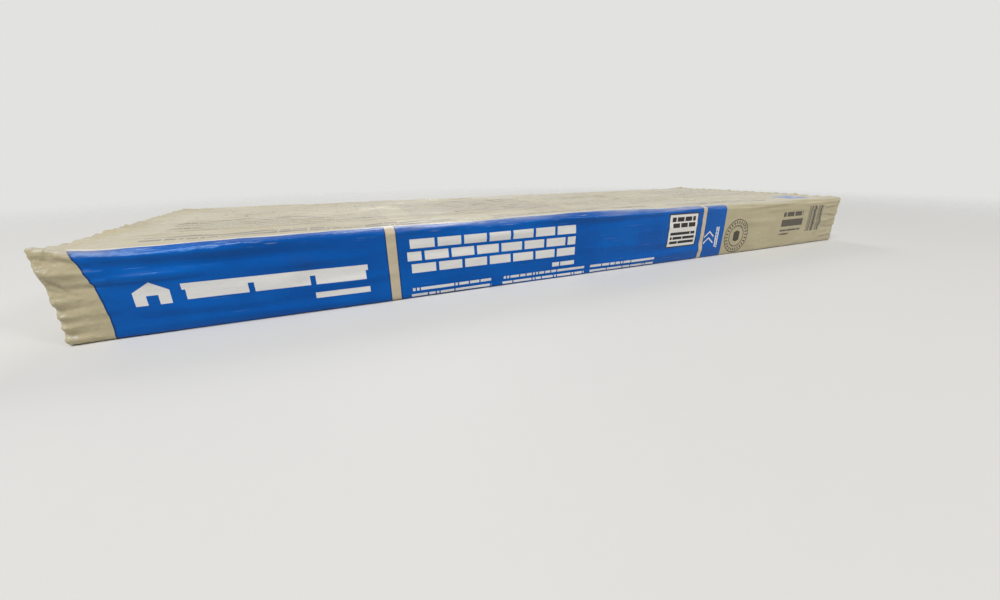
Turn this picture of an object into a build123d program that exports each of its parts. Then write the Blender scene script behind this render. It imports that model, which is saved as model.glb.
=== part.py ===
from build123d import *
import os

# Asphalt shingle bundle: a stack of strip shingles inside one sheet of folded wrapper.
# Sizes are in millimetres. X runs along the bundle, Y across it, and Z is up.
# The origin is under the middle of the bundle, on the surface that it rests on.

# Shingle: one strip with tabs along its lower edge
shingle_length = 1000.0
shingle_width = 337.0
shingle_thickness = 3.25
shingle_count = 21
tab_count = 3
cutout_width = 9.5
cutout_depth = 143.0
cutout_round = 3.0

# Room left round the shingles inside the wrapper
layer_gap = 0.12
floor_gap = 0.3
head_gap = 1.6
side_gap = 2.4
end_gap = 2.4

# Wrapper sheet, and how it rounds over the stack
sheet = 0.5
crown = 1.2
side_bulge = 0.6
top_round = 7.0
bottom_round = 3.5
end_round = 3.5

# Long lap under the bundle, where the two edges of the sheet meet
lap_edge_y = 21.0
lap_line_width = 0.8
lap_step = 0.2

# Folded end: the side tucks lie flat, then the top flap, and the bottom flap outermost.
# The flaps' sides run in at 45 degrees for the depth of the tucks, and then straight.
tuck_depth = 34.0
top_flap_straight = 8.0
top_flap_bulge = 1.1
top_flap_lift = 0.7
bottom_flap_straight = 20.5
bottom_flap_bulge = 1.9
bottom_flap_lift = 1.6
flap_corner_round = 4.0

# Ears that the folds leave at the upper corners
ear_root_depth = 9.0
ear_root_width = 15.0
ear_root_height = 9.0
ear_reach = 4.0
ear_tip_width = 5.0
ear_tip_height = 1.4
ear_tip_inset = 3.0
ear_drop = 1.2
ear_curl = 4.0

# Sizes that follow from the stack
stack_height = shingle_count * shingle_thickness + (shingle_count - 1) * layer_gap
inner_length = shingle_length + 2 * end_gap
inner_width = shingle_width + 2 * side_gap
inner_height = floor_gap + stack_height + head_gap
outer_width = inner_width + 2 * sheet
outer_height = inner_height + 2 * sheet
end_x = inner_length / 2 + sheet

# Reach of the flaps from their folds to their free edges
top_flap_reach = tuck_depth + top_flap_straight
bottom_flap_reach = tuck_depth + bottom_flap_straight


def bundle_form(skin):
    """The rounded form of the packed bundle, with skin of wrapper over the room inside."""
    half_width = inner_width / 2 + skin
    bottom_z = sheet - skin
    top_z = sheet + inner_height + skin
    middle_z = (bottom_z + top_z) / 2
    side_y = half_width + side_bulge
    with BuildPart() as form:
        with BuildSketch(Plane.YZ) as section:
            with BuildLine():
                Line((-half_width, bottom_z), (half_width, bottom_z))
                ThreePointArc((half_width, bottom_z), (side_y, middle_z), (half_width, top_z))
                ThreePointArc((half_width, top_z), (0, top_z + crown), (-half_width, top_z))
                ThreePointArc((-half_width, top_z), (-side_y, middle_z), (-half_width, bottom_z))
            make_face()
            upper_corners = section.vertices().group_by(Axis.Y)[-1]
            lower_corners = section.vertices().group_by(Axis.Y)[0]
            fillet(upper_corners, radius=top_round - sheet + skin)
            fillet(lower_corners, radius=bottom_round - sheet + skin)
        extrude(amount=inner_length / 2 + skin, both=True)
        end_faces = form.faces().filter_by(Axis.X)
        fillet(end_faces.edges(), radius=end_round - sheet + skin)
    return form.part


def flap_side(fold_z, reach, bulge, lift, way):
    """The outer face of a flap in side view: its fold, its middle and its free edge."""
    fold = (end_x, fold_z)
    middle = (end_x + bulge, fold_z + way * reach / 2)
    free_edge = (end_x + lift, fold_z + way * reach)
    return fold, middle, free_edge


def end_flap(fold_z, reach, bulge, lift, way):
    """One flap of a folded end, whose free edge is above its fold (way 1) or below it (way -1)."""
    fold, middle, free_edge = flap_side(fold_z, reach, bulge, lift, way)
    free_z = free_edge[1]
    tuck_z = fold_z + way * tuck_depth
    fold_half = outer_width / 2 - top_round
    free_half = fold_half - tuck_depth
    with BuildPart() as flap:
        with BuildSketch(Plane.XZ):
            with BuildLine():
                ThreePointArc(fold, middle, free_edge)
                Polyline(free_edge, (end_x - sheet, free_z), (end_x - sheet, fold_z), fold)
            make_face()
        extrude(amount=fold_half, both=True)
        with BuildSketch(Plane.YZ.offset(end_x - sheet)) as outline:
            with BuildLine():
                Polyline(
                    (-fold_half, fold_z),
                    (fold_half, fold_z),
                    (free_half, tuck_z),
                    (free_half, free_z),
                    (-free_half, free_z),
                    (-free_half, tuck_z),
                    close=True,
                )
            make_face()
            free_corners = outline.vertices().sort_by(Axis.Y, reverse=way < 0)[-2:]
            fillet(free_corners, radius=flap_corner_round)
        extrude(amount=sheet + bulge + lift, mode=Mode.INTERSECT)
    return flap.part


packed_form = bundle_form(sheet)
cavity = bundle_form(0)
top_fold = (outer_height - top_round, top_flap_reach, top_flap_bulge, top_flap_lift, -1)
bottom_fold = (end_round, bottom_flap_reach, bottom_flap_bulge, bottom_flap_lift, 1)
top_flap = end_flap(*top_fold)
bottom_flap = end_flap(*bottom_fold)

# One ear, drawn out of an upper corner, curled up and flattened to a blunt tip
with BuildPart() as ear:
    with BuildSketch(Plane.YZ.offset(end_x - ear_root_depth)):
        root_y = outer_width / 2 - ear_root_width / 2
        root_z = outer_height - ear_drop - ear_root_height / 2
        with Locations((root_y, root_z)):
            Ellipse(ear_root_width / 2, ear_root_height / 2)
    with BuildSketch(Plane.YZ.offset(end_x + ear_reach)):
        tip_y = outer_width / 2 - ear_tip_inset - ear_tip_width / 2
        tip_z = outer_height - ear_drop + ear_curl - ear_tip_height / 2
        with Locations((tip_y, tip_z)):
            Ellipse(ear_tip_width / 2, ear_tip_height / 2)
    loft()

# Line of the lap: along the underside, and up the outer face of each bottom flap
with BuildPart() as lap_line:
    with BuildSketch(Plane.XZ.offset(-lap_edge_y)):
        fold, middle, free_edge = flap_side(*bottom_fold)
        clear_x = end_x + 2 * bottom_flap_bulge
        with BuildLine():
            ThreePointArc(
                (fold[0] - lap_step, fold[1]),
                (middle[0] - lap_step, middle[1]),
                (free_edge[0] - lap_step, free_edge[1]),
            )
            Polyline(
                (free_edge[0] - lap_step, free_edge[1]),
                (clear_x, free_edge[1]),
                (clear_x, fold[1]),
                (fold[0] - lap_step, fold[1]),
            )
        make_face()
    extrude(amount=lap_line_width / 2, both=True)
    mirror(about=Plane.YZ)
    with Locations((0, lap_edge_y, 0)):
        Box(inner_length, lap_line_width, 2 * lap_step)

# Wrapper: one hollow sheet with its folded ends, ears and lap
with BuildPart() as wrapper:
    add(ear.part)
    mirror(about=Plane.XZ)
    add(top_flap)
    add(bottom_flap)
    mirror(about=Plane.YZ)
    add(packed_form)
    add(lap_line.part, mode=Mode.SUBTRACT)
    add(cavity, mode=Mode.SUBTRACT)
wrapper.part.label = "wrapper"

# Cut-out between two tabs, with its upper corners rounded
with BuildSketch() as cutout:
    Rectangle(cutout_width, cutout_depth, align=(Align.CENTER, Align.MIN))
    fillet(cutout.vertices().group_by(Axis.Y)[-1], radius=cutout_round)

# One shingle, lying with its tabs towards the front, and half a cut-out at each end
with BuildPart() as strip:
    with BuildSketch():
        Rectangle(shingle_length, shingle_width)
        with Locations((0, -shingle_width / 2)):
            with GridLocations(shingle_length / tab_count, 0, tab_count + 1, 1):
                add(cutout.sketch, mode=Mode.SUBTRACT)
    extrude(amount=shingle_thickness)

# Shingles: the stack, with every other one turned end for end
with BuildPart() as shingles:
    for layer in range(shingle_count):
        layer_z = sheet + floor_gap + layer * (shingle_thickness + layer_gap)
        with Locations(Location((0, 0, layer_z), (0, 0, 180 * (layer % 2)))):
            add(strip.part)
shingles.part.label = "shingles"

os.makedirs("parts", exist_ok=True)
export_step(wrapper.part, "parts/wrapper.step")
export_step(shingles.part, "parts/shingles.step")
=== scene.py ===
"""Looks of a wrapped bundle of asphalt strip shingles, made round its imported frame.

Sizes inside the classes are millimetres. "Along" is measured from the left end of the
bundle, and "girth" up the front from its lower edge, over the top and down the back.
A mesh turns into metres once, when its object is made.
"""

import logging
import math
from dataclasses import dataclass
from enum import Enum, IntEnum

import bpy
import numpy as np
from mathutils import Matrix, Vector


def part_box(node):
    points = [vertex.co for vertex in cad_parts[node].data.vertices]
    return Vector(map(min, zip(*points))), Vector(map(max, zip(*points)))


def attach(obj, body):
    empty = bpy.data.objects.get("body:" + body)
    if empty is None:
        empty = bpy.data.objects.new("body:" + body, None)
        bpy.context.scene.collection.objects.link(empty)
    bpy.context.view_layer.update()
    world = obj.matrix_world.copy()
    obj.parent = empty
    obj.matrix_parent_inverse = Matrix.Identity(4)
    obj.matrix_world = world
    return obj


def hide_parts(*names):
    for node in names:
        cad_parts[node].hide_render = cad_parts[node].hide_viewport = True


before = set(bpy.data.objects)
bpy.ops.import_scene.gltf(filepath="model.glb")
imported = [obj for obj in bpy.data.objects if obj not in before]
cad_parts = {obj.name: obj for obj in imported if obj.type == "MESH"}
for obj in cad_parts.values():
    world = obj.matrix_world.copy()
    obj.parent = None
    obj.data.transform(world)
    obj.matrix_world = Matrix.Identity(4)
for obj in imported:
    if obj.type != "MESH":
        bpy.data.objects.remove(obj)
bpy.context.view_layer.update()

MM = 0.001
QUARTER = math.pi / 2
HALF_TURN = 2 * QUARTER
FULL_TURN = 4 * QUARTER
SCREEN_STEPS = 255
CURVE_LOW, CURVE_SLOPE = 0.04045, 12.92
CURVE_OFFSET, CURVE_POWER = 0.055, 2.4
LOG = logging.getLogger("shingle_bundle")

Array = np.ndarray
Pair = tuple[float, float]
Triple = tuple[float, float, float]
Colour = tuple[float, float, float, float]
Socket = bpy.types.NodeSocket


def ink(red: int, green: int, blue: int) -> Colour:
    """Turn a colour as a screen shows it into the linear one that a shader takes.

    Args:
        red: Red from 0 to 255.
        green: Green from 0 to 255.
        blue: Blue from 0 to 255.

    Returns:
        The linear colour with an alpha of 1.
    """
    linear = []
    for level in (red, green, blue):
        part = level / SCREEN_STEPS
        curved = ((part + CURVE_OFFSET) / (1 + CURVE_OFFSET)) ** CURVE_POWER
        linear.append(part / CURVE_SLOPE if part <= CURVE_LOW else curved)
    return (linear[0], linear[1], linear[2], 1.0)


def smooth_step(low: float, high: float, value: Array) -> Array:
    """Rise smoothly from 0 at low to 1 at high."""
    part = np.clip((value - low) / (high - low), 0, 1)
    return part * part * (3 - 2 * part)


def bell(distance: Array, reach: float = 1.0) -> Array:
    """Fall smoothly from 1 where the distance is 0, to about a third at the reach."""
    return np.exp(-((distance / reach) ** 2))


# Sizes and the form under the relief


@dataclass(frozen=True)
class BundleSize:
    """Outer sizes of the bundle and of the stack in it, read from the frame."""

    half_length: float
    half_width: float
    height: float
    stack_half_length: float
    stack_half_width: float
    stack_low: float
    stack_high: float
    crown: float
    side_bulge: float
    top_round: float = 7.0
    bottom_round: float = 3.5
    end_round: float = 2.8
    lap_across: float = 21.0
    clearance: float = 0.3

    @classmethod
    def from_frame(
        cls, end_room: float = 2.9, side_room: float = 2.9, head_room: float = 2.1, crown: float = 1.2
    ) -> "BundleSize":
        """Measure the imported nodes.

        Args:
            end_room: Space between the stack's end and the outside of the film.
            side_room: The same at the stack's long sides.
            head_room: The same over the stack.
            crown: How much the top rises to its middle.

        Returns:
            The sizes in millimetres.
        """
        stack_low, stack_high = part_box("shingles")
        wrap_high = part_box("wrapper")[1]
        half_width = stack_high.y / MM + side_room
        return cls(
            half_length=stack_high.x / MM + end_room,
            half_width=half_width,
            height=stack_high.z / MM + head_room,
            stack_half_length=stack_high.x / MM,
            stack_half_width=stack_high.y / MM,
            stack_low=stack_low.z / MM,
            stack_high=stack_high.z / MM,
            crown=crown,
            side_bulge=wrap_high.y / MM - half_width,
        )

    @property
    def length(self) -> float:
        """The bundle's length over the film."""
        return 2 * self.half_length


class Stretch(IntEnum):
    """The straight and round stretches of the section's outline, in order of girth."""

    FRONT = 0
    UPPER_FRONT = 1
    TOP = 2
    UPPER_BACK = 3
    BACK = 4
    LOWER_BACK = 5
    UNDERSIDE = 6
    LOWER_FRONT = 7


@dataclass(frozen=True)
class Run:
    """One straight or round stretch of the section's outline."""

    start: float
    length: float
    centre: Pair
    heading: float
    radius: float = 0.0

    def at(self, girth: Array) -> tuple[Array, Array, Array, Array]:
        """Follow the stretch.

        Args:
            girth: Places on it, as distances round the section.

        Returns:
            Across and up, and the two parts of the outward normal.
        """
        passed = girth - self.start
        turned = passed / self.radius if self.radius else np.zeros_like(passed)
        heading = self.heading - turned
        normal_y = -np.sin(heading)
        normal_z = np.cos(heading)
        ahead = 0.0 if self.radius else passed
        across = self.centre[0] + self.radius * normal_y + ahead * np.cos(heading)
        level = self.centre[1] + self.radius * normal_z + ahead * np.sin(heading)
        return across, level, normal_y, normal_z


class Section:
    """The rounded outline across the bundle, followed by girth."""

    overlap = 1e-9

    def __init__(self, size: BundleSize) -> None:
        """Lay the eight stretches end to end.

        Args:
            size: The bundle's sizes.
        """
        self.size = size
        width, height = size.half_width, size.height
        top, bottom = size.top_round, size.bottom_round
        side = height - top - bottom
        stretches = (
            (side, (-width, bottom), QUARTER, 0.0),
            (QUARTER * top, (-width + top, height - top), QUARTER, top),
            (2 * (width - top), (-width + top, height), 0.0, 0.0),
            (QUARTER * top, (width - top, height - top), 0.0, top),
            (side, (width, height - top), -QUARTER, 0.0),
            (QUARTER * bottom, (width - bottom, bottom), -QUARTER, bottom),
            (2 * (width - bottom), (width - bottom, 0.0), -HALF_TURN, 0.0),
            (QUARTER * bottom, (-width + bottom, bottom), -HALF_TURN, bottom),
        )
        self.runs: list[Run] = []
        start = bottom
        for length, centre, heading, radius in stretches:
            self.runs.append(Run(start, length, centre, heading, radius))
            start += length
        self.first = bottom
        self.total = start - bottom

    def at(self, girth: Array) -> tuple[Array, Array, Array, Array]:
        """Follow the whole outline.

        Args:
            girth: Distances round the section, from any turn of it.

        Returns:
            Across and up, and the two parts of the outward normal.
        """
        place = self.first + np.mod(girth - self.first, self.total)
        found = [np.zeros_like(place) for _ in range(4)]
        for run in self.runs:
            here = (place >= run.start) & (place <= run.start + run.length + self.overlap)
            for values, part in zip(found, run.at(place[here])):
                values[here] = part
        return found[0], found[1], found[2], found[3]

    def middle(self, stretch: Stretch) -> float:
        """Girth at the middle of a stretch."""
        return self.runs[stretch].start + self.runs[stretch].length / 2

    def away(self, girth: Array, place: float) -> Array:
        """Signed distance round the section from a place to each girth, the short way."""
        return np.mod(girth - place + self.total / 2, self.total) - self.total / 2

    def swell(self, across: Array, level: Array) -> tuple[Array, Array]:
        """Add the crown of the top and the bulge of the sides.

        Args:
            across: Places across the bundle.
            level: Heights above the floor.

        Returns:
            The moved places and heights.
        """
        size = self.size
        share_out = across / size.half_width
        share_up = level / size.height
        raised = level + size.crown * (1 - share_out**2) * np.clip(share_up, 0, 1) ** 2
        bulged = across + size.side_bulge * (1 - (2 * share_up - 1) ** 2) * share_out**3
        return bulged, raised


# Noise and folds


class SmoothNoise:
    """Gradient noise on a seeded lattice, the same on every run."""

    gain = 1.6
    layer_shift = (19.7, 7.3)
    crease_shift = (31.1, 11.9)
    crease_step = 1.9
    crease_pinch = 2.6
    crease_gain = 0.6

    def __init__(self, seed: int, cells: int = 256) -> None:
        """Draw the lattice.

        Args:
            seed: Seed of the lattice's slopes.
            cells: Cells before the noise repeats.
        """
        angles = np.random.default_rng(seed).uniform(0, FULL_TURN, (cells, cells))
        self.cells = cells
        self.slope_a = np.cos(angles)
        self.slope_b = np.sin(angles)

    def at(self, a: Array, b: Array) -> Array:
        """Sample the noise.

        Args:
            a: First coordinate, in cells.
            b: Second coordinate, in cells.

        Returns:
            Values from about -1 to 1.
        """
        cell_a = np.floor(a).astype(int)
        cell_b = np.floor(b).astype(int)
        part_a = a - cell_a
        part_b = b - cell_b
        fade_a = part_a**3 * (part_a * (part_a * 6 - 15) + 10)
        fade_b = part_b**3 * (part_b * (part_b * 6 - 15) + 10)
        total = np.zeros_like(part_a)
        for step_a, weight_a in ((0, 1 - fade_a), (1, fade_a)):
            for step_b, weight_b in ((0, 1 - fade_b), (1, fade_b)):
                row = (cell_a + step_a) % self.cells
                column = (cell_b + step_b) % self.cells
                rise = self.slope_a[row, column] * (part_a - step_a)
                rise += self.slope_b[row, column] * (part_b - step_b)
                total += weight_a * weight_b * rise
        return total * self.gain

    def layered(self, a: Array, b: Array, octaves: int) -> Array:
        """Add finer and weaker copies of the noise.

        Args:
            a: First coordinate, in cells of the widest copy.
            b: Second coordinate.
            octaves: Number of copies.

        Returns:
            Values from about -1.5 to 1.5.
        """
        total = np.zeros_like(a)
        shift_a, shift_b = self.layer_shift
        for octave in range(octaves):
            fine = 2.0**octave
            total += self.at(a * fine + shift_a * octave, b * fine + shift_b * octave) / fine
        return total

    def creased(self, a: Array, b: Array, octaves: int) -> Array:
        """Noise with sharp crests and hollows, as of crumpled film.

        Args:
            a: First coordinate, in cells of the widest copy.
            b: Second coordinate.
            octaves: Number of copies, crests and hollows in turn.

        Returns:
            Values from about -1 to 1.
        """
        total = np.zeros_like(a)
        shift_a, shift_b = self.crease_shift
        for octave in range(octaves):
            fine = self.crease_step**octave
            way = 1 if octave % 2 == 0 else -1
            value = self.at(a * fine + shift_a * octave, b * fine + shift_b * octave)
            total += way * (1 - self.crease_pinch * np.abs(value)) / fine
        return total * self.crease_gain


@dataclass(frozen=True)
class Ripple:
    """One layer of noise on the film: its height, and its cells along and across."""

    height: float
    along: float
    across: float
    layers: int = 2
    shift: float = 0.0

    def wave(self, noise: SmoothNoise, along: Array, across: Array) -> Array:
        """Rounded waves, in millimetres."""
        return self.height * noise.layered(along / self.along + self.shift, across / self.across, self.layers)

    def crease(self, noise: SmoothNoise, along: Array, across: Array) -> Array:
        """Sharp crests and hollows, in millimetres."""
        return self.height * noise.creased(along / self.along + self.shift, across / self.across, self.layers)


@dataclass(frozen=True)
class EdgeWave:
    """How an edge of the film wanders: how far, over which length, and its place in the noise."""

    height: float
    length: float
    place: float = 0.0
    row: float = 0.0

    def at(self, noise: SmoothNoise, along: Array, side: Array | float = 0.0) -> Array:
        """Offset of the edge at places along it, with another course for each side."""
        return self.height * noise.at(along / self.length + self.place + side, along * 0 + self.row + side)


class FoldShape(Enum):
    """How a fold in the film looks across its line."""

    SHARP = "sharp"
    SOFT = "soft"


@dataclass(frozen=True)
class Fold:
    """One fold, from a start to an end given as two coordinates on the film."""

    start: Pair
    end: Pair
    height: float
    width: float
    shape: FoldShape = FoldShape.SOFT

    taper_power = 0.7
    hollow_depth = 0.5
    hollow_place = 1.8

    def relief(self, a: Array, b: Array) -> Array:
        """Height of the fold.

        Args:
            a: First coordinates of the points.
            b: Second coordinates.

        Returns:
            Heights in millimetres.
        """
        run_a = self.end[0] - self.start[0]
        run_b = self.end[1] - self.start[1]
        squared = run_a**2 + run_b**2
        part = ((a - self.start[0]) * run_a + (b - self.start[1]) * run_b) / squared
        part = np.clip(part, 0, 1)
        off_a = a - self.start[0] - part * run_a
        off_b = b - self.start[1] - part * run_b
        distance = np.hypot(off_a, off_b)
        taper = np.sin(HALF_TURN * part) ** self.taper_power
        if self.shape is FoldShape.SOFT:
            return self.height * taper * bell(distance, self.width)
        side = np.sign(off_b * run_a - off_a * run_b)
        crest = np.exp(-distance / self.width)
        hollow = self.hollow_depth * bell(distance / self.width - self.hollow_place) * (side < 0)
        return self.height * taper * (crest - hollow)


@dataclass(frozen=True)
class Gather:
    """A crest that runs in from the bundle's end and fades."""

    girth: float
    height: float
    width: float
    fade: float

    falloff = 1.3

    def relief(self, off: Array, gap: Array) -> Array:
        """Height of the crest, from the distances to its line and to the end."""
        return self.height * np.exp(-((np.abs(off) / self.width) ** self.falloff) - gap / self.fade)


@dataclass(frozen=True)
class DrawnGathers:
    """Ranges of the gathers that are drawn at random, where the photograph shows none."""

    height: Pair = (0.7, 1.7)
    hollow_share: float = 0.6
    width: Pair = (2.2, 4.6)
    fade: Pair = (12.0, 34.0)
    spacing: Pair = (5.0, 12.0)
    end_room: float = 6.0

    def draw(self, generator: np.random.Generator, start: float, total: float) -> tuple[Gather, ...]:
        """Spread gathers at uneven distances over the rest of the girth.

        Args:
            generator: The random generator.
            start: Girth at which they start.
            total: Whole girth of the section.

        Returns:
            The gathers in order.
        """
        gathers = []
        girth = start
        while girth < total - self.end_room:
            way = 1 if len(gathers) % 2 == 0 else -self.hollow_share
            height = generator.uniform(*self.height) * way
            width = generator.uniform(*self.width)
            gathers.append(Gather(girth, height, width, generator.uniform(*self.fade)))
            girth += generator.uniform(*self.spacing)
        return tuple(gathers)


@dataclass(frozen=True)
class DrawnFolds:
    """Ranges of the long, nearly level folds that are drawn at random."""

    count: int = 84
    length: Pair = (60.0, 260.0)
    lean: float = 0.09
    height: Pair = (0.5, 1.5)
    raised_share: float = 0.75
    sharp_share: float = 0.35
    sharp_width: Pair = (2.2, 3.4)
    soft_width: Pair = (3.4, 7.5)
    edge_room: float = 4.0
    end_room: float = 12.0

    def draw(self, generator: np.random.Generator, length: float, section: Section) -> tuple[Fold, ...]:
        """Scatter folds over the top, the back and the underside.

        Args:
            generator: The random generator.
            length: The bundle's length.
            section: The outline that girth follows.

        Returns:
            The folds.
        """
        folds = []
        first = section.middle(Stretch.UPPER_FRONT) + self.edge_room
        last = section.total - self.end_room
        for _ in range(self.count):
            along = generator.uniform(0, length)
            girth = generator.uniform(first, last)
            reach = generator.uniform(*self.length) * generator.choice((-1, 1))
            rise = generator.uniform(-self.lean, self.lean) * reach
            sharp = generator.uniform() < self.sharp_share
            height = generator.uniform(*self.height)
            height *= 1 if generator.uniform() < self.raised_share else -1
            width = generator.uniform(*(self.sharp_width if sharp else self.soft_width))
            shape = FoldShape.SHARP if sharp else FoldShape.SOFT
            folds.append(Fold((along, girth), (along + reach, girth + rise), height, width, shape))
        return tuple(folds)


# Relief of the sleeve and of the folded ends


class EndSide(Enum):
    """The two ends of the bundle, by the sign of X."""

    LEFT = -1
    RIGHT = 1


FRONT_LEFT_GATHERS = (
    Gather(66, -1.6, 3.2, 34),
    Gather(56.5, 3.4, 4, 44),
    Gather(47, -1.1, 4.2, 22),
    Gather(36.5, 2.8, 3.4, 14),
    Gather(30, -1.6, 2.2, 11),
    Gather(24.5, 2.9, 2.4, 15),
    Gather(20, -1.2, 1.8, 10),
    Gather(15.5, 2.8, 2.2, 14),
    Gather(10, -1.8, 2.2, 11),
    Gather(4.5, 2.2, 2.4, 13),
)

FRONT_FOLDS = (
    Fold((-4, 68), (17, 40), 2.4, 1.4, FoldShape.SHARP),
    Fold((2, 75), (34, 61), 1.4, 1.4, FoldShape.SHARP),
    Fold((20, 66.5), (150, 66), 2.3, 2.8),
    Fold((8, 48.5), (112, 50.5), 3, 1.7, FoldShape.SHARP),
    Fold((18, 58.5), (210, 59.5), -3, 4.2),
    Fold((60, 70.5), (250, 71.5), 1.5, 2.2),
    Fold((120, 48), (236, 50.5), 1.4, 3.4),
    Fold((36, 22), (150, 17), 1.5, 3.6),
    Fold((170, 24), (262, 30), 1.3, 3),
    Fold((250, 69.5), (345, 71.5), 1.7, 2),
    Fold((262, 46), (380, 50), -1.3, 4.4),
    Fold((330, 57), (440, 60.5), 1.3, 2.8),
    Fold((380, 70.5), (570, 67), 2, 2.4),
    Fold((450, 61), (620, 64.5), -1.7, 3.2),
    Fold((470, 34), (590, 30), 1.3, 4.2),
    Fold((560, 46), (690, 51), 0.7, 3.6),
    Fold((590, 69.5), (712, 71.5), 1.4, 2.2),
    Fold((30, 9), (250, 6), 1.5, 3.4),
    Fold((300, 5), (560, 7.5), -1.3, 3.6),
    Fold((500, 9), (725, 14.5), 2, 4),
    Fold((560, 21), (705, 24.5), -0.9, 3.6),
    Fold((730, 47), (850, 44), 1.3, 4),
    Fold((724, 73.5), (842, 70), 1.5, 1.2, FoldShape.SHARP),
    Fold((760, 66.5), (905, 70.5), 1.4, 1.2, FoldShape.SHARP),
    Fold((803, 62), (930, 57), 1.7, 1.5, FoldShape.SHARP),
    Fold((925, 57.3), (1004, 62), 1.8, 1.5, FoldShape.SHARP),
    Fold((850, 75), (1000, 71.5), 1.8, 1.3, FoldShape.SHARP),
    Fold((905, 66.5), (1004, 67.5), 1.7, 1.2, FoldShape.SHARP),
    Fold((902, 7), (927, 10.5), 1.7, 1.3, FoldShape.SHARP),
    Fold((962, 11), (1004, 14), 2, 1.4, FoldShape.SHARP),
    Fold((940, 34), (1004, 40), 1.7, 2.6),
    Fold((955, 27), (1004, 24), -1.4, 2.4),
    Fold((968, 50), (1004, 46), 1.5, 1.4, FoldShape.SHARP),
)


@dataclass(frozen=True)
class TopLift:
    """The gentle rise of the film's upper front edge."""

    centre: float = 470.0
    spread: float = 120.0
    height: float = 2.8
    depth: float = 75.0
    level_power: int = 4

    def rise(self, along: Array, across: Array, level: Array, size: BundleSize) -> Array:
        """How much each point goes up.

        Args:
            along: Places along the bundle.
            across: Places across it.
            level: Heights above the floor.
            size: The bundle's sizes.

        Returns:
            The rise in millimetres.
        """
        highest = self.height * bell(along - self.centre, self.spread)
        near = highest * bell(across + size.half_width, self.depth)
        return near * np.clip(level / size.height, 0, 1) ** self.level_power


@dataclass(frozen=True)
class EdgeBand:
    """Where crinkles run along one of the bundle's long edges."""

    edge: Stretch
    reach: float
    share: float = 1.0
    off: float = 0.0

    def at(self, section: Section, girth: Array) -> Array:
        """Share of the crinkles at each girth."""
        return self.share * bell(section.away(girth, section.middle(self.edge) + self.off), self.reach)


@dataclass(frozen=True)
class SleevePlan:
    """Sizes of the ripples and crinkles of the sleeve, and of the lap under it."""

    swell: Ripple = Ripple(0.60, 150.0, 40.0)
    ripple: Ripple = Ripple(0.32, 64.0, 11.0, shift=40.0)
    edge_crinkle: Ripple = Ripple(0.46, 58.0, 5.2)
    edge_bands: tuple[EdgeBand, ...] = (
        EdgeBand(Stretch.UPPER_FRONT, 11.0, off=2.0),
        EdgeBand(Stretch.UPPER_BACK, 12.0, 0.8),
        EdgeBand(Stretch.LOWER_FRONT, 9.0, 0.5),
    )
    end_crinkle: Ripple = Ripple(1.15, 11.0, 5.6, 3, 9.0)
    end_reach: float = 17.0
    fine_crinkle: Ripple = Ripple(0.06, 21.0, 7.0, shift=70.0)
    loose_crease: Ripple = Ripple(1.1, 72.0, 25.0, shift=5.0)
    loose_lean: float = 0.8
    loose_start: Pair = (8.0, 34.0)
    loose_stop: Pair = (-10.0, 0.0)
    tension: float = 0.6
    taut_low: Pair = (0.0, 8.0)
    taut_high: Pair = (62.0, 70.0)
    taut_along: Pair = (430.0, 600.0)
    right_gathers_start: float = 2.0
    lap_width: float = 40.0
    lap_edge: float = 0.15
    lap_fade: float = 4.0
    ply: float = 0.25


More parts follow.
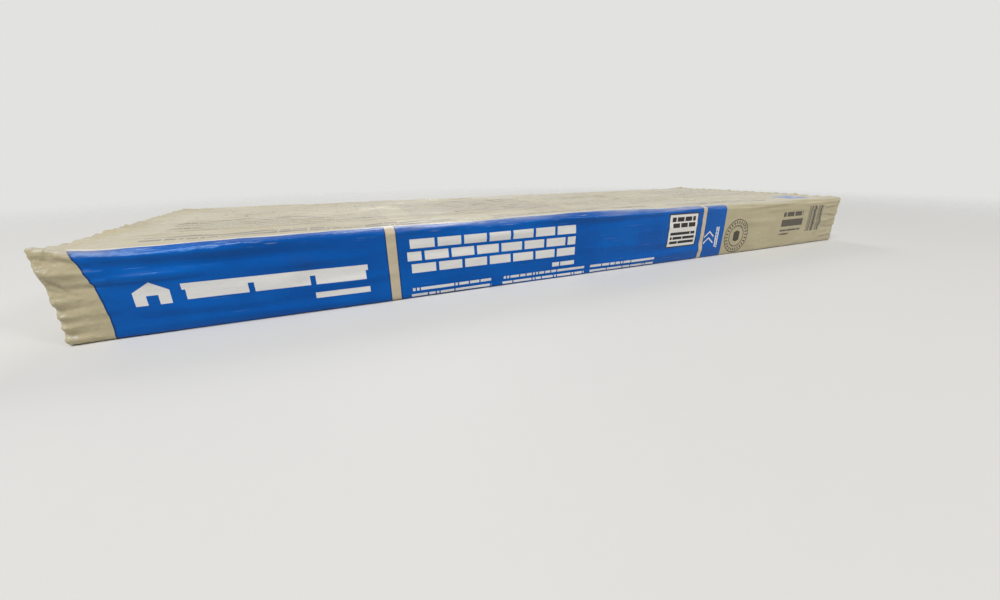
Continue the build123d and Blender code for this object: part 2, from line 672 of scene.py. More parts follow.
class SleeveRelief:
    """Ripples, folds and fine crinkles of the film along the four long faces."""

    def __init__(self, size: BundleSize, section: Section, seed: int = 5) -> None:
        """Choose the gathers of each end and the folds of the faces that nothing else sets.

        Args:
            size: The bundle's sizes.
            section: The outline that girth follows.
            seed: Seed of what is drawn at random.
        """
        self.size = size
        self.section = section
        self.plan = SleevePlan()
        self.broad = SmoothNoise(seed)
        self.fine = SmoothNoise(seed + 1)
        generator = np.random.default_rng(seed + 2)
        gathers = DrawnGathers()
        front_end = section.middle(Stretch.UPPER_FRONT)
        self.gathers = {
            EndSide.LEFT: FRONT_LEFT_GATHERS + gathers.draw(generator, front_end, section.total),
            EndSide.RIGHT: gathers.draw(generator, self.plan.right_gathers_start, section.total),
        }
        self.folds = FRONT_FOLDS + DrawnFolds().draw(generator, size.length, section)

    def _gathered(self, gap: Array, girth: Array, side: EndSide) -> Array:
        """Sum of one end's gathers."""
        gathers = self.gathers[side]
        return sum(gather.relief(self.section.away(girth, gather.girth), gap) for gather in gathers)

    def _slack(self, along: Array, girth: Array) -> Array:
        """How slack the film is: less on the right half of the front, where it is drawn tight."""
        front = smooth_step(*self.plan.taut_low, girth) * (1 - smooth_step(*self.plan.taut_high, girth))
        return 1 - self.plan.tension * front * smooth_step(*self.plan.taut_along, along)

    def _crinkles(self, along: Array, girth: Array, gap: Array) -> Array:
        """Crinkles along the long edges, at the ends and on the loose faces.

        Args:
            along: Places along the bundle.
            girth: Places round it.
            gap: Distances from the nearer end.

        Returns:
            Heights in millimetres.
        """
        plan, section = self.plan, self.section
        near_edge = sum(band.at(section, girth) for band in plan.edge_bands)
        crinkles = near_edge * plan.edge_crinkle.crease(self.fine, along, girth)
        crinkles += np.exp(-gap / plan.end_reach) * plan.end_crinkle.crease(self.fine, along, girth)
        crinkles += plan.fine_crinkle.crease(self.fine, along, girth)
        loose = smooth_step(*plan.loose_start, girth - section.middle(Stretch.UPPER_FRONT))
        loose *= 1 - smooth_step(*plan.loose_stop, girth - section.middle(Stretch.LOWER_BACK))
        return crinkles + loose * plan.loose_crease.crease(self.broad, along + plan.loose_lean * girth, girth)

    def at(self, along: Array, girth: Array) -> Array:
        """Relief of the sleeve.

        Args:
            along: Places along the bundle.
            girth: Places round it.

        Returns:
            Heights along the outward normal, in millimetres.
        """
        plan = self.plan
        gap_left = np.clip(along, 0, None)
        gap_right = np.clip(self.size.length - along, 0, None)
        slack = self._slack(along, girth)
        relief = slack * plan.swell.wave(self.broad, along, girth)
        relief += slack * plan.ripple.wave(self.broad, along, girth)
        relief += self._crinkles(along, girth, np.minimum(gap_left, gap_right))
        relief += self._gathered(gap_left, girth, EndSide.LEFT)
        relief += self._gathered(gap_right, girth, EndSide.RIGHT) * slack
        for fold in self.folds:
            relief += fold.relief(along, girth)
        return relief

    def under_ply(self, across: Array) -> Array:
        """How far the single layer lies above the lapped one on the underside.

        Args:
            across: Places across the bundle.

        Returns:
            Heights in millimetres.
        """
        plan = self.plan
        past_edge = across - self.size.lap_across
        lapped = smooth_step(-plan.lap_edge, plan.lap_edge, past_edge)
        lapped *= 1 - smooth_step(plan.lap_width - plan.lap_fade, plan.lap_width + plan.lap_fade, past_edge)
        return plan.ply * (1 - lapped)


@dataclass(frozen=True)
class EndPlan:
    """Sizes of one folded end: side tucks, a top flap and the bottom flap over them."""

    tuck_depth: float = 34.0
    tuck_rise_power: float = 0.85
    tuck_fall_power: float = 0.75
    tuck_fall_share: float = 0.8
    rag: tuple[EdgeWave, ...] = (EdgeWave(3.4, 9.0, row=3.0), EdgeWave(1.5, 3.1))
    rag_side: float = 40.0
    free_level: float = 58.0
    flap_edge: Pair = (-0.6, 0.9)
    flap_bulge: float = 1.9
    flap_lift: float = 1.2
    flap_ply: float = 0.35
    top_flap_height: float = 0.5
    top_flap_root: float = 0.4
    step_width: float = 0.25
    lap_step: float = 0.7
    lap_start: float = 6.0
    settle_level: float = 9.0
    settle_inward: float = 12.0
    border_wrinkle: float = 0.25
    ripple: Ripple = Ripple(0.62, 58.0, 15.0)
    edge_crinkle: Ripple = Ripple(0.62, 15.0, 6.5, 3)
    edge_reach: float = 18.0
    crinkle: Ripple = Ripple(0.24, 34.0, 13.0, 3, 50.0)
    gather: Ripple = Ripple(0.9, 6.5, 14.0, shift=90.0)
    gather_level: float = 5.0
    gather_off: float = 30.0
    gather_spread: float = 45.0
    lip_height: float = 1.6
    lip_place: float = 1.2
    lip_width: float = 1.9
    lip_share: float = 0.55
    lip_wave: EdgeWave = EdgeWave(0.6, 4.5)
    lip_side: float = 40.5
    lip_start: Pair = (4.0, 15.0)
    tuck_floor: float = -1.1
    tuck_border: float = 0.35
    tuck_start: float = 10.0
    tuck_side: float = 23.0
    tuck_warp: Ripple = Ripple(0.5, 9.0, 9.0, 1, 7.0)
    pleat_root: Pair = (4.0, 6.0)
    pleats: float = 6.5
    pleat_warp: float = 0.4
    pleat_length: float = 34.0
    foil_height: float = 1.05
    foil_cells: Pair = (8.5, 7.0)
    deepest: float = -2.4
    wander_start: Pair = (2.0, 12.0)
    wander_reach: float = 5.0
    free_waves: tuple[EdgeWave, ...] = (EdgeWave(1.5, 31.0, 5.0), EdgeWave(0.5, 8.0, 9.0))
    lap_waves: tuple[EdgeWave, ...] = (EdgeWave(2.0, 14.0, 60.0), EdgeWave(0.9, 4.2, 80.0))
    lap_reach: float = 6.0
    lap_top: float = 8.0


LEFT_END_FOLDS = (
    Fold((-120, 52), (30, 44), 1.5, 4.4),
    Fold((-150, 20), (20, 25), 1.4, 5.2),
    Fold((-60, 34), (60, 38), -1.4, 4),
    Fold((40, 50), (135, 62), 1.2, 3.8),
    Fold((60, 14), (150, 26), 1.3, 4.4),
    Fold((22, 38), (33, 52), 0.7, 1.4, FoldShape.SHARP),
    Fold((-90, 64), (10, 66), 0.5, 2.6),
)

RIGHT_END_FOLDS = (
    Fold((-130, 16), (60, 44), 1.5, 4.4),
    Fold((-80, 10), (80, 33), -1.3, 4),
    Fold((-140, 40), (-20, 57), 1.3, 3.8),
    Fold((30, 20), (140, 42), 1.3, 4.6),
    Fold((-10, 46), (110, 60), -1.1, 3.6),
    Fold((21, 30), (6, 41), 0.8, 1.4, FoldShape.SHARP),
    Fold((60, 66), (140, 64), 0.5, 2.6),
)


class EndRelief:
    """Relief of one folded end, outward from its plane."""

    def __init__(self, size: BundleSize, plan: EndPlan, folds: tuple[Fold, ...], seed: int) -> None:
        """Keep the plan of the end and its own noise.

        Args:
            size: The bundle's sizes.
            plan: The end's flaps and tucks.
            folds: Folds given one by one, as across and level.
            seed: Seed of the crumples.
        """
        self.size = size
        self.plan = plan
        self.folds = folds
        self.noise = SmoothNoise(seed)
        self.crumple = SmoothNoise(seed + 1)

    def tuck_reach(self, across: Array, level: Array) -> Array:
        """How far in from the side the tuck shows at each level.

        Args:
            across: Places across the end.
            level: Heights above the floor.

        Returns:
            Reach in millimetres, with the ragged edge of the flaps over it.
        """
        plan = self.plan
        rise = np.clip(level / plan.tuck_depth, 0, 1) ** plan.tuck_rise_power
        drop = (self.size.height - level) / (plan.tuck_depth * plan.tuck_fall_share)
        fall = np.clip(drop, 0, 1) ** plan.tuck_fall_power
        reach = plan.tuck_depth * np.minimum(rise, fall)
        side = np.sign(across) * plan.rag_side
        ragged = sum(wave.at(self.noise, level, side) for wave in plan.rag)
        return reach + ragged * reach / plan.tuck_depth

    def at(self, across: Array, level: Array) -> Array:
        """Relief of the end.

        Args:
            across: Places across it.
            level: Heights above the floor.

        Returns:
            Outward heights in millimetres.
        """
        plan, height = self.plan, self.size.height
        inward = self.size.half_width - np.abs(across)
        from_edge = inward - self.tuck_reach(across, level)
        edge_level = np.minimum(level, height - level)
        settle = smooth_step(0, plan.settle_level, edge_level) * smooth_step(0, plan.settle_inward, inward)
        step = plan.step_width
        share_up = np.clip(level / plan.free_level, 0, 1)
        flap = plan.flap_bulge * 4 * share_up * (1 - share_up) + plan.flap_lift * share_up + plan.flap_ply
        over = 1 - smooth_step(plan.free_level - step, plan.free_level + step, level)
        top_share = np.clip((height - level) / (height - plan.free_level), 0, 1)
        face = over * flap + (1 - over) * plan.top_flap_height * (plan.top_flap_root + top_share)
        lapped = smooth_step(self.size.lap_across - step, self.size.lap_across + step, across)
        face -= plan.lap_step * (1 - lapped) * over * smooth_step(0, plan.lap_start, level)
        wrinkle = self._wrinkles(across, level, from_edge)
        face = face * settle + wrinkle * (plan.border_wrinkle + (1 - plan.border_wrinkle) * settle)
        uneven = plan.lip_wave.at(self.noise, level + np.sign(across) * plan.lip_side)
        lip = plan.lip_height * bell(from_edge - plan.lip_place, plan.lip_width)
        face += lip * (plan.lip_share + uneven) * smooth_step(*plan.lip_start, inward)
        panel = smooth_step(*plan.flap_edge, from_edge)
        relief = panel * face + (1 - panel) * self._tuck(across, level, inward)
        return np.maximum(relief, plan.deepest)

    def _wrinkles(self, across: Array, level: Array, from_edge: Array) -> Array:
        """Ripples and folds of the flaps, crinkled at their edges and gathered at the lap's foot.

        Args:
            across: Places across the end.
            level: Heights above the floor.
            from_edge: Distances in from the flaps' edge.

        Returns:
            Outward heights in millimetres.
        """
        plan = self.plan
        wrinkle = plan.ripple.wave(self.noise, across, level)
        near_edge = np.exp(-np.clip(from_edge, 0, None) / plan.edge_reach)
        wrinkle += near_edge * plan.edge_crinkle.crease(self.crumple, across, level)
        wrinkle += plan.crinkle.crease(self.crumple, across, level)
        gathered = np.exp(-level / plan.gather_level)
        gathered *= bell(across - self.size.lap_across - plan.gather_off, plan.gather_spread)
        wrinkle += gathered * plan.gather.crease(self.crumple, across, level)
        for fold in self.folds:
            wrinkle += fold.relief(across, level)
        return wrinkle

    def _tuck(self, across: Array, level: Array, inward: Array) -> Array:
        """Crumpled side tuck, with pleats that spread from the upper corner.

        Args:
            across: Places across the end.
            level: Heights above the floor.
            inward: Distances from the nearer side.

        Returns:
            Outward heights in millimetres.
        """
        plan = self.plan
        side = np.sign(across) * plan.tuck_side
        root_in = inward + plan.pleat_root[0]
        root_down = self.size.height - level + plan.pleat_root[1]
        warp = plan.tuck_warp.wave(self.noise, across, level)
        turn = np.arctan2(root_in, root_down) * plan.pleats + side + plan.pleat_warp * warp
        pleats = self.crumple.creased(turn, np.hypot(root_in, root_down) / plan.pleat_length + warp, 2)
        foil_across = across / plan.foil_cells[0] + warp + side
        foil = plan.foil_height * self.crumple.creased(foil_across, level / plan.foil_cells[1] + warp, 3)
        deep = smooth_step(0, plan.tuck_start, inward)
        uneven = plan.tuck_border + (1 - plan.tuck_border) * deep
        return plan.tuck_floor * deep + uneven * (pleats + foil)

    def wander(self, across: Array, level: Array, inner: Array) -> tuple[Array, Array]:
        """Let the bottom flap's free edge and the lap's edge run unevenly.

        Args:
            across: Places across the end.
            level: Heights above the floor.
            inner: Distances from the nearest border of the end.

        Returns:
            The moved places and heights.
        """
        plan = self.plan
        loose = smooth_step(*plan.wander_start, inner)
        free_wave = sum(wave.at(self.noise, across) for wave in plan.free_waves)
        lap_wave = sum(wave.at(self.noise, level) for wave in plan.lap_waves)
        below = 1 - smooth_step(plan.free_level, plan.free_level + plan.lap_top, level)
        near_lap = bell(across - self.size.lap_across, plan.lap_reach)
        moved_level = level + loose * free_wave * bell(level - plan.free_level, plan.wander_reach)
        return across + loose * below * lap_wave * near_lap, moved_level


@dataclass(frozen=True)
class CornerPull:
    """A corner of the film that folding has drawn out of the form."""

    side: EndSide
    across_sign: int
    level_share: float
    shift: Triple
    spread: float

    falloff = 1.5

    def move(self, points: Array, size: BundleSize) -> Array:
        """Shift of each point.

        Args:
            points: Points of the mesh in millimetres.
            size: The bundle's sizes.

        Returns:
            Their shifts.
        """
        along = self.side.value * size.half_length
        corner = np.array((along, self.across_sign * size.half_width, size.height * self.level_share))
        distance = np.linalg.norm(points - corner, axis=1)
        weight = np.exp(-((distance / self.spread) ** self.falloff))
        return weight[:, None] * np.array(self.shift)


CORNER_PULLS = (
    CornerPull(EndSide.LEFT, -1, 0.98, (-2.8, -1.8, 5.2), 15),
    CornerPull(EndSide.LEFT, 1, 0.97, (-3, 0.8, 1.6), 10),
    CornerPull(EndSide.RIGHT, -1, 0.98, (3.6, -0.6, 1.8), 10),
    CornerPull(EndSide.RIGHT, 1, 0.97, (3, 1, 2.6), 11),
    CornerPull(EndSide.LEFT, -1, 0.05, (-1.6, -0.5, 0.4), 8),
    CornerPull(EndSide.LEFT, 1, 0.05, (-1.4, 0.5, 0.4), 8),
    CornerPull(EndSide.RIGHT, -1, 0.05, (1.5, -0.6, 0.4), 8),
    CornerPull(EndSide.RIGHT, 1, 0.05, (1.3, 0.4, 0.4), 8),
)


# The film as a mesh


@dataclass(frozen=True)
class Station:
    """One ring of the sleeve: where it is, and how far it has turned into the end."""

    along: float
    turn: float
    side: EndSide
    dense: bool


@dataclass(frozen=True)
class MeshPitch:
    """Distances between the lines of the mesh, and round its middle by stretch."""

    side: float = 1.4
    across: float = 1.45
    end: float = 1.6
    end_depth: float = 34.0
    long: float = 3.6
    girth: tuple[float, ...] = (2.8, 1.3, 4.7, 1.3, 4.2, 1.1, 17.0, 1.1)
    top_front: float = 2.8
    top_front_reach: float = 22.0
    spare_share: float = 0.93
    round_steps: int = 5
    pair: float = 0.5


def grid_lines(low: float, high: float, pitch: float, steps: tuple[float, ...], pair: float) -> Array:
    """Even lines from low to high, with a close pair of lines at each step of the film.

    Args:
        low: First line.
        high: Last line.
        pitch: Distance between lines, about.
        steps: Places where the film steps, in order.
        pair: Distance between the lines of a pair.

    Returns:
        The places of the lines.
    """
    starts = [low] + [step + pair / 2 for step in steps]
    stops = [step - pair / 2 for step in steps] + [high]
    stretches = []
    for start, stop in zip(starts, stops):
        count = max(1, round((stop - start) / pitch))
        stretches.append(np.linspace(start, stop, count + 1))
    return np.concatenate(stretches)


class FilmSheet:
    """The wrapping film: rings along the bundle, closed by a folded end on each side."""

    end_seeds = {EndSide.LEFT: 31, EndSide.RIGHT: 47}
    flap_allowance = 5.0
    lap_end_gap = 2.0

    def __init__(self, size: BundleSize, pitch: MeshPitch, plan: EndPlan) -> None:
        """Lay out the lines of the mesh.

        Args:
            size: The bundle's sizes.
            pitch: Distances between lines.
            plan: Sizes of the folded ends.
        """
        self.size = size
        self.pitch = pitch
        self.plan = plan
        self.section = Section(size)
        self.sleeve = SleeveRelief(size, self.section)
        end_folds = {EndSide.LEFT: LEFT_END_FOLDS, EndSide.RIGHT: RIGHT_END_FOLDS}
        self.ends = {
            side: EndRelief(size, plan, folds, self.end_seeds[side]) for side, folds in end_folds.items()
        }
        self.lift = TopLift()
        self.lap_girth = self.section.middle(Stretch.UNDERSIDE) - size.lap_across
        self.dense = self._dense_lines()
        self.kept = self._kept_lines()

    def _dense_lines(self) -> Array:
        """Lay the lines near the ends.

        Returns:
            Their girths, from the lower front corner all the way round.
        """
        section, pitch = self.section, self.pitch
        low_front = section.middle(Stretch.LOWER_FRONT) - section.total
        high_front = section.middle(Stretch.UPPER_FRONT)
        high_back = section.middle(Stretch.UPPER_BACK)
        low_back = section.middle(Stretch.LOWER_BACK)
        up = grid_lines(low_front, high_front, pitch.side, (self.plan.free_level,), pitch.pair)
        half_top = (high_back - high_front) / 2
        middle_top = (high_front + high_back) / 2
        lap = (middle_top + self.size.lap_across,)
        over = grid_lines(high_front, high_back, pitch.across, lap, pitch.pair)
        down = high_back + (high_front - up)[::-1] * (low_back - high_back) / (high_front - low_front)
        middle_low = (low_back + section.middle(Stretch.LOWER_FRONT)) / 2
        half_low = (section.middle(Stretch.LOWER_FRONT) - low_back) / 2
        back = middle_low - (over - middle_top)[::-1] * half_low / half_top
        self.side_steps = len(up) - 1
        self.across_steps = len(over) - 1
        return np.concatenate([up[:-1], over[:-1], down[:-1], back[:-1]])

    def _local_pitch(self, girth: float) -> float:
        """Distance between lines that the middle of the bundle needs at one place.

        Args:
            girth: The place round the section.

        Returns:
            The distance in millimetres.
        """
        starts = [run.start for run in self.section.runs]
        stretch = [Stretch.LOWER_FRONT] + [place for place in Stretch if girth >= starts[place]]
        if stretch[-1] is Stretch.TOP and girth < starts[Stretch.TOP] + self.pitch.top_front_reach:
            return self.pitch.top_front
        return self.pitch.girth[stretch[-1]]

    def _kept_lines(self) -> Array:
        """Choose the dense lines that go on through the middle of the bundle.

        Returns:
            Their indices.
        """
        kept = [0]
        for index in range(1, len(self.dense)):
            girth = self.dense[index]
            wanted = self._local_pitch(girth) * self.pitch.spare_share
            at_lap = abs(girth - self.lap_girth) < self.pitch.pair
            if girth - self.dense[kept[-1]] >= wanted or at_lap:
                kept.append(index)
        return np.array(kept)

    def _stations(self) -> list[Station]:
        """Lay out the rings.

        Returns:
            The rings from the left end to the right one.
        """
        pitch, size = self.pitch, self.size
        rounding = [
            Station(size.end_round * (1 - math.sin(turn)), turn, EndSide.LEFT, True)
            for turn in np.linspace(QUARTER, 0, pitch.round_steps)
        ]
        count = round((pitch.end_depth - size.end_round) / pitch.end)
        depths = np.linspace(size.end_round, pitch.end_depth, count + 1)[1:]
        left = rounding + [Station(depth, 0.0, EndSide.LEFT, True) for depth in depths]
        right = [Station(size.length - ring.along, ring.turn, EndSide.RIGHT, True) for ring in reversed(left)]
        middle_count = round((size.length - 2 * pitch.end_depth) / pitch.long)
        middles = np.linspace(pitch.end_depth, size.length - pitch.end_depth, middle_count + 1)[1:-1]
        return left + [Station(place, 0.0, EndSide.LEFT, False) for place in middles] + right

    def _ring_points(self, stations: list[Station]) -> tuple[Array, Array]:
        """Points and film coordinates of all rings.

        Args:
            stations: The rings in order.

        Returns:
            Points in millimetres, and along and girth on the flat film.
        """
        size, section = self.size, self.section
        counts = [len(self.dense) if station.dense else len(self.kept) for station in stations]
        girth = np.concatenate([self.dense if s.dense else self.dense[self.kept] for s in stations])
        along = np.repeat([station.along for station in stations], counts)
        turn = np.repeat([station.turn for station in stations], counts)
        way = np.repeat([float(station.side.value) for station in stations], counts)
        across, level, normal_y, normal_z = section.at(girth)
        inset = size.end_round * (1 - np.cos(turn))
        flat_across = across - inset * normal_y
        flat_level = level - inset * normal_z
        across, level = section.swell(flat_across, flat_level)
        points = np.stack([along - size.half_length, across, level], axis=1)
        normals = np.stack([way * np.sin(turn), normal_y * np.cos(turn), normal_z * np.cos(turn)], axis=1)
        relief = self.sleeve.at(along, girth)
        for side, end in self.ends.items():
            here = (turn > 0) & (way == side.value)
            share = smooth_step(0, QUARTER, turn[here])
            own = end.at(flat_across[here], flat_level[here])
            relief[here] = relief[here] * (1 - share) + own * share
        points += normals * relief[:, None]
        unrolled = size.end_round * (1 - turn)
        film_end = np.where(way < 0, unrolled, size.length - unrolled)
        return points, np.stack([np.where(turn > 0, film_end, along), girth], axis=1)

    def _border(self, side: EndSide, total: int) -> tuple[Array, int]:
        """Grid of vertex numbers of one end, with its border filled in.

        Args:
            side: The end.
            total: Number of ring vertices.

        Returns:
            The grid, row by row from the bottom, and the first number of the border ring.
        """
        count = len(self.dense)
        first = 0 if side is EndSide.LEFT else total - count
        rows, columns = self.side_steps, self.across_steps
        grid = np.zeros((rows + 1, columns + 1), int)
        grid[:, 0] = first + np.arange(rows + 1)
        grid[rows, :] = first + rows + np.arange(columns + 1)
        grid[:, columns] = first + rows + columns + np.arange(rows, -1, -1)
        grid[0, :] = first + (2 * rows + columns + np.arange(columns, -1, -1)) % count
        return grid, first

    def _end_points(self, side: EndSide, border: Array) -> tuple[Array, Array]:
        """Inner points of one folded end, between the four sides of its border.

        Args:
            side: The end.
            border: Flat border points as rows of across and level, in the grid's layout.

        Returns:
            Points in millimetres, and along and girth on the film.
        """
        size = self.size
        rows, columns = self.side_steps, self.across_steps
        up = np.linspace(0, 1, rows + 1)[:, None, None]
        over = np.linspace(0, 1, columns + 1)[None, :, None]
        bottom, top = border[0][None], border[rows][None]
        left, right = border[:, 0][:, None], border[:, columns][:, None]
        ruled = (1 - up) * bottom + up * top + (1 - over) * left + over * right
        corners = (1 - up) * (1 - over) * bottom[:, :1] + (1 - up) * over * bottom[:, -1:]
        corners = corners + up * (1 - over) * top[:, :1] + up * over * top[:, -1:]
        flat = (ruled - corners)[1:rows, 1:columns].reshape(-1, 2)
        across, level = flat[:, 0], flat[:, 1]
        end = self.ends[side]
        relief = end.at(across, level)
        inner = np.minimum(size.half_width - np.abs(across), np.minimum(level, size.height - level))
        moved_across, moved_level = self.section.swell(*end.wander(across, level, inner))
        out = side.value * (size.half_length + relief)
        points = np.stack([out, moved_across, moved_level], axis=1)
        beyond = self.flap_allowance + inner
        film_along = -beyond if side is EndSide.LEFT else size.length + beyond
        return points, np.stack([film_along, level], axis=1)

    def _sleeve_faces(self, stations: list[Station]) -> list[tuple[int, ...]]:
        """Faces between the rings.

        Args:
            stations: The rings in order.

        Returns:
            Vertex numbers of each face, seen from outside.
        """
        faces: list[tuple[int, ...]] = []
        dense_count, kept_count = len(self.dense), len(self.kept)
        start = 0
        for here, there in zip(stations, stations[1:]):
            count = dense_count if here.dense else kept_count
            other = start + count
            if here.dense == there.dense:
                for index in range(count):
                    after = (index + 1) % count
                    faces.append((start + index, other + index, other + after, start + after))
            elif here.dense:
                faces += self._fan(start, other, flipped=False)
            else:
                faces += self._fan(other, start, flipped=True)
            start = other
        return faces

    def _fan(self, dense_start: int, kept_start: int, flipped: bool) -> list[tuple[int, ...]]:
        """Triangles between a dense ring and the ring with fewer points beside it.

        Args:
            dense_start: First vertex number of the dense ring.
            kept_start: First vertex number of the other ring.
            flipped: True where the dense ring lies to the right.

        Returns:
            Vertex numbers of each triangle.
        """
        faces: list[tuple[int, ...]] = []
        count, kept = len(self.dense), list(self.kept)
        for place, low in enumerate(kept):
            high = kept[place + 1] if place + 1 < len(kept) else count
            near = kept_start + place
            far = kept_start + (place + 1) % len(kept)
            middle = (low + high) // 2
            for index in range(low, high):
                tip = near if index < middle else far
                faces.append((dense_start + index, tip, dense_start + (index + 1) % count))
            faces.append((dense_start + middle % count, near, far))
        return [face[::-1] for face in faces] if flipped else faces

    def _keep_clear(self, points: Array) -> Array:
        """Hold the film off the stack and above the floor.

        Args:
            points: Points in millimetres.

        Returns:
            The held points.
        """
        size, room = self.size, self.size.clearance
        half_x, half_y = size.stack_half_length + room, size.stack_half_width + room
        lowest = np.array((-half_x, -half_y, size.stack_low - room))
        highest = np.array((half_x, half_y, size.stack_high + room))
        held = points.copy()
        held[:, 2] = np.maximum(held[:, 2], 0.0)
        depths = np.concatenate([held - lowest, highest - held], axis=1)
        inside = depths.min(axis=1) > 0
        nearest = depths.argmin(axis=1)
        for wall, limit in enumerate((*lowest, *highest)):
            held[inside & (nearest == wall), wall % 3] = limit
        return held

    def build(self, name: str) -> bpy.types.Object:
        """Make the film's mesh object.

        Args:
            name: Name of the object.

        Returns:
            The object, in metres, in the frame's place.
        """
        stations = self._stations()
        ring_points, ring_film = self._ring_points(stations)
        total = len(ring_points)
        faces = self._sleeve_faces(stations)
        points, film = [ring_points], [ring_film]
        across, level, normal_y, normal_z = self.section.at(self.dense)
        inset = self.size.end_round
        flat_ring = np.stack([across - inset * normal_y, level - inset * normal_z], axis=1)
        added = total
        for side in EndSide:
            grid, first = self._border(side, total)
            end_points, end_film = self._end_points(side, flat_ring[np.clip(grid - first, 0, None)])
            inner = grid[1:-1, 1:-1]
            inner[:] = added + np.arange(inner.size).reshape(inner.shape)
            corners = (grid[:-1, :-1], grid[:-1, 1:], grid[1:, 1:], grid[1:, :-1])
            quads = np.stack(corners, axis=-1).reshape(-1, len(corners))
            outward = quads if side is EndSide.RIGHT else quads[:, ::-1]
            faces += [tuple(quad) for quad in outward.tolist()]
            points.append(end_points)
            film.append(end_film)
            added += inner.size
        placed = self._keep_clear(self._drawn_out(np.concatenate(points)))
        return self._mesh_object(name, placed, np.concatenate(film), faces)

    def _drawn_out(self, points: Array) -> Array:
        """Pull the corners out, raise the upper front edge and lay the film on its lap.

        Args:
            points: Points in millimetres.

        Returns:
            The moved points.
        """
        size = self.size
        along, across, level = points.T
        shift = np.zeros_like(points)
        for pull in CORNER_PULLS:
            shift += pull.move(points, size)
        shift[:, 2] += self.lift.rise(along + size.half_length, across, level, size)
        single = (level < size.bottom_round) & (np.abs(along) < size.half_length - self.lap_end_gap)
        shift[single, 2] += self.sleeve.under_ply(across[single])
        return points + shift

    def _mesh_object(
        self, name: str, points: Array, film: Array, faces: list[tuple[int, ...]]
    ) -> bpy.types.Object:
        """Turn points and faces into a smooth-shaded object with the film's flat coordinates.

        Args:
            name: Name of the object and its mesh.
            points: Points in millimetres.
            film: Along and girth of each point.
            faces: Vertex numbers of each face.

        Returns:
            The linked object.
        """
        mesh = bpy.data.meshes.new(name)
        mesh.from_pydata((points * MM).tolist(), [], faces)
        self._map_sheet(mesh, film)
        mesh.polygons.foreach_set("use_smooth", np.ones(len(mesh.polygons), bool))
        mesh.update()
        body = bpy.data.objects.new(name, mesh)
        bpy.context.scene.collection.objects.link(body)
        LOG.info("%s: %d faces", name, len(mesh.polygons))
        return body

    def _map_sheet(self, mesh: bpy.types.Mesh, film: Array) -> None:
        """Lay the film's flat coordinates on the mesh, without a face that spans the lap's edge.

        Args:
            mesh: The film's mesh.
            film: Along and girth of each point.
        """
        corners = np.zeros(len(mesh.loops), int)
        mesh.loops.foreach_get("vertex_index", corners)
        starts = np.zeros(len(mesh.polygons), int)
        counts = np.zeros(len(mesh.polygons), int)
        mesh.polygons.foreach_get("loop_start", starts)
        mesh.polygons.foreach_get("loop_total", counts)
        places = film[corners].copy()
        places[:, 0] -= self.size.half_length
        highest = np.repeat(np.maximum.reduceat(places[:, 1], starts), counts)
        behind = highest - places[:, 1] > self.section.total / 2
        places[behind, 1] += self.section.total
        lowest = np.repeat(np.minimum.reduceat(places[:, 1], starts), counts)
        places[lowest > self.lap_girth - self.pitch.pair, 1] -= self.section.total
        sheet_map = mesh.uv_layers.new(name="sheet")
        sheet_map.data.foreach_set("uv", (places * MM).ravel())


# Shader nodes


class Channel:
    """A number that varies over a surface, joined to others by Math nodes."""

    def __init__(self, canvas: "Canvas", source: Socket) -> None:
        """Keep the socket that gives the number, and the canvas it is on."""
        self.canvas = canvas
        self.source = source

    def __add__(self, other: "Channel | float") -> "Channel":
        """Sum of the two."""
        return self.canvas.math("ADD", self, other)

    def __sub__(self, other: "Channel | float") -> "Channel":
        """Difference of the two."""
        return self.canvas.math("SUBTRACT", self, other)

    def __rsub__(self, other: float) -> "Channel":
        """Difference from a number."""
        return self.canvas.math("SUBTRACT", other, self)

    def __mul__(self, other: "Channel | float") -> "Channel":
        """Product of the two, which for masks is where both are."""
        return self.canvas.math("MULTIPLY", self, other)

    def __truediv__(self, other: "Channel | float") -> "Channel":
        """Quotient of the two."""
        return self.canvas.math("DIVIDE", self, other)

    def __or__(self, other: "Channel") -> "Channel":
        """The larger of the two, which for masks is where either is."""
        return self.canvas.math("MAXIMUM", self, other)

    def invert(self) -> "Channel":
        """The mask of everything else."""
        return 1 - self

    def above(self, limit: "Channel | float") -> "Channel":
        """Mask of where this is more than the limit."""
        return self.canvas.math("GREATER_THAN", self, limit)

    def below(self, limit: "Channel | float") -> "Channel":
        """Mask of where this is less than the limit."""
        return self.canvas.math("LESS_THAN", self, limit)

    def within(self, low: float, high: float) -> "Channel":
        """Mask of where this lies between two numbers."""
        return self.canvas.math("COMPARE", self, (low + high) / 2, (high - low) / 2)

    def reach(self, other: "Channel") -> "Channel":
        """Distance from the origin, with this and the other as coordinates."""
        return self.canvas.math("SQRT", self * self + other * other)

    def floor(self) -> "Channel":
        """The whole part."""
        return self.canvas.math("FLOOR", self)

    def part(self) -> "Channel":
        """The fraction after the whole part."""
        return self.canvas.math("FRACT", self)

    def size(self) -> "Channel":
        """The number without its sign."""
        return self.canvas.math("ABSOLUTE", self)

    def ramp(self, low: float, high: float) -> "Channel":
        """Smooth mask that rises from 0 to 1.

        Args:
            low: Where it is 0, which may be the larger number.
            high: Where it is 1.

        Returns:
            The mask.
        """
        settings = {"Value": self, "From Min": low, "From Max": high}
        return Channel(
            self.canvas,
            self.canvas.node("ShaderNodeMapRange", settings, interpolation_type="SMOOTHSTEP").outputs[0],
        )


Term = Channel | float


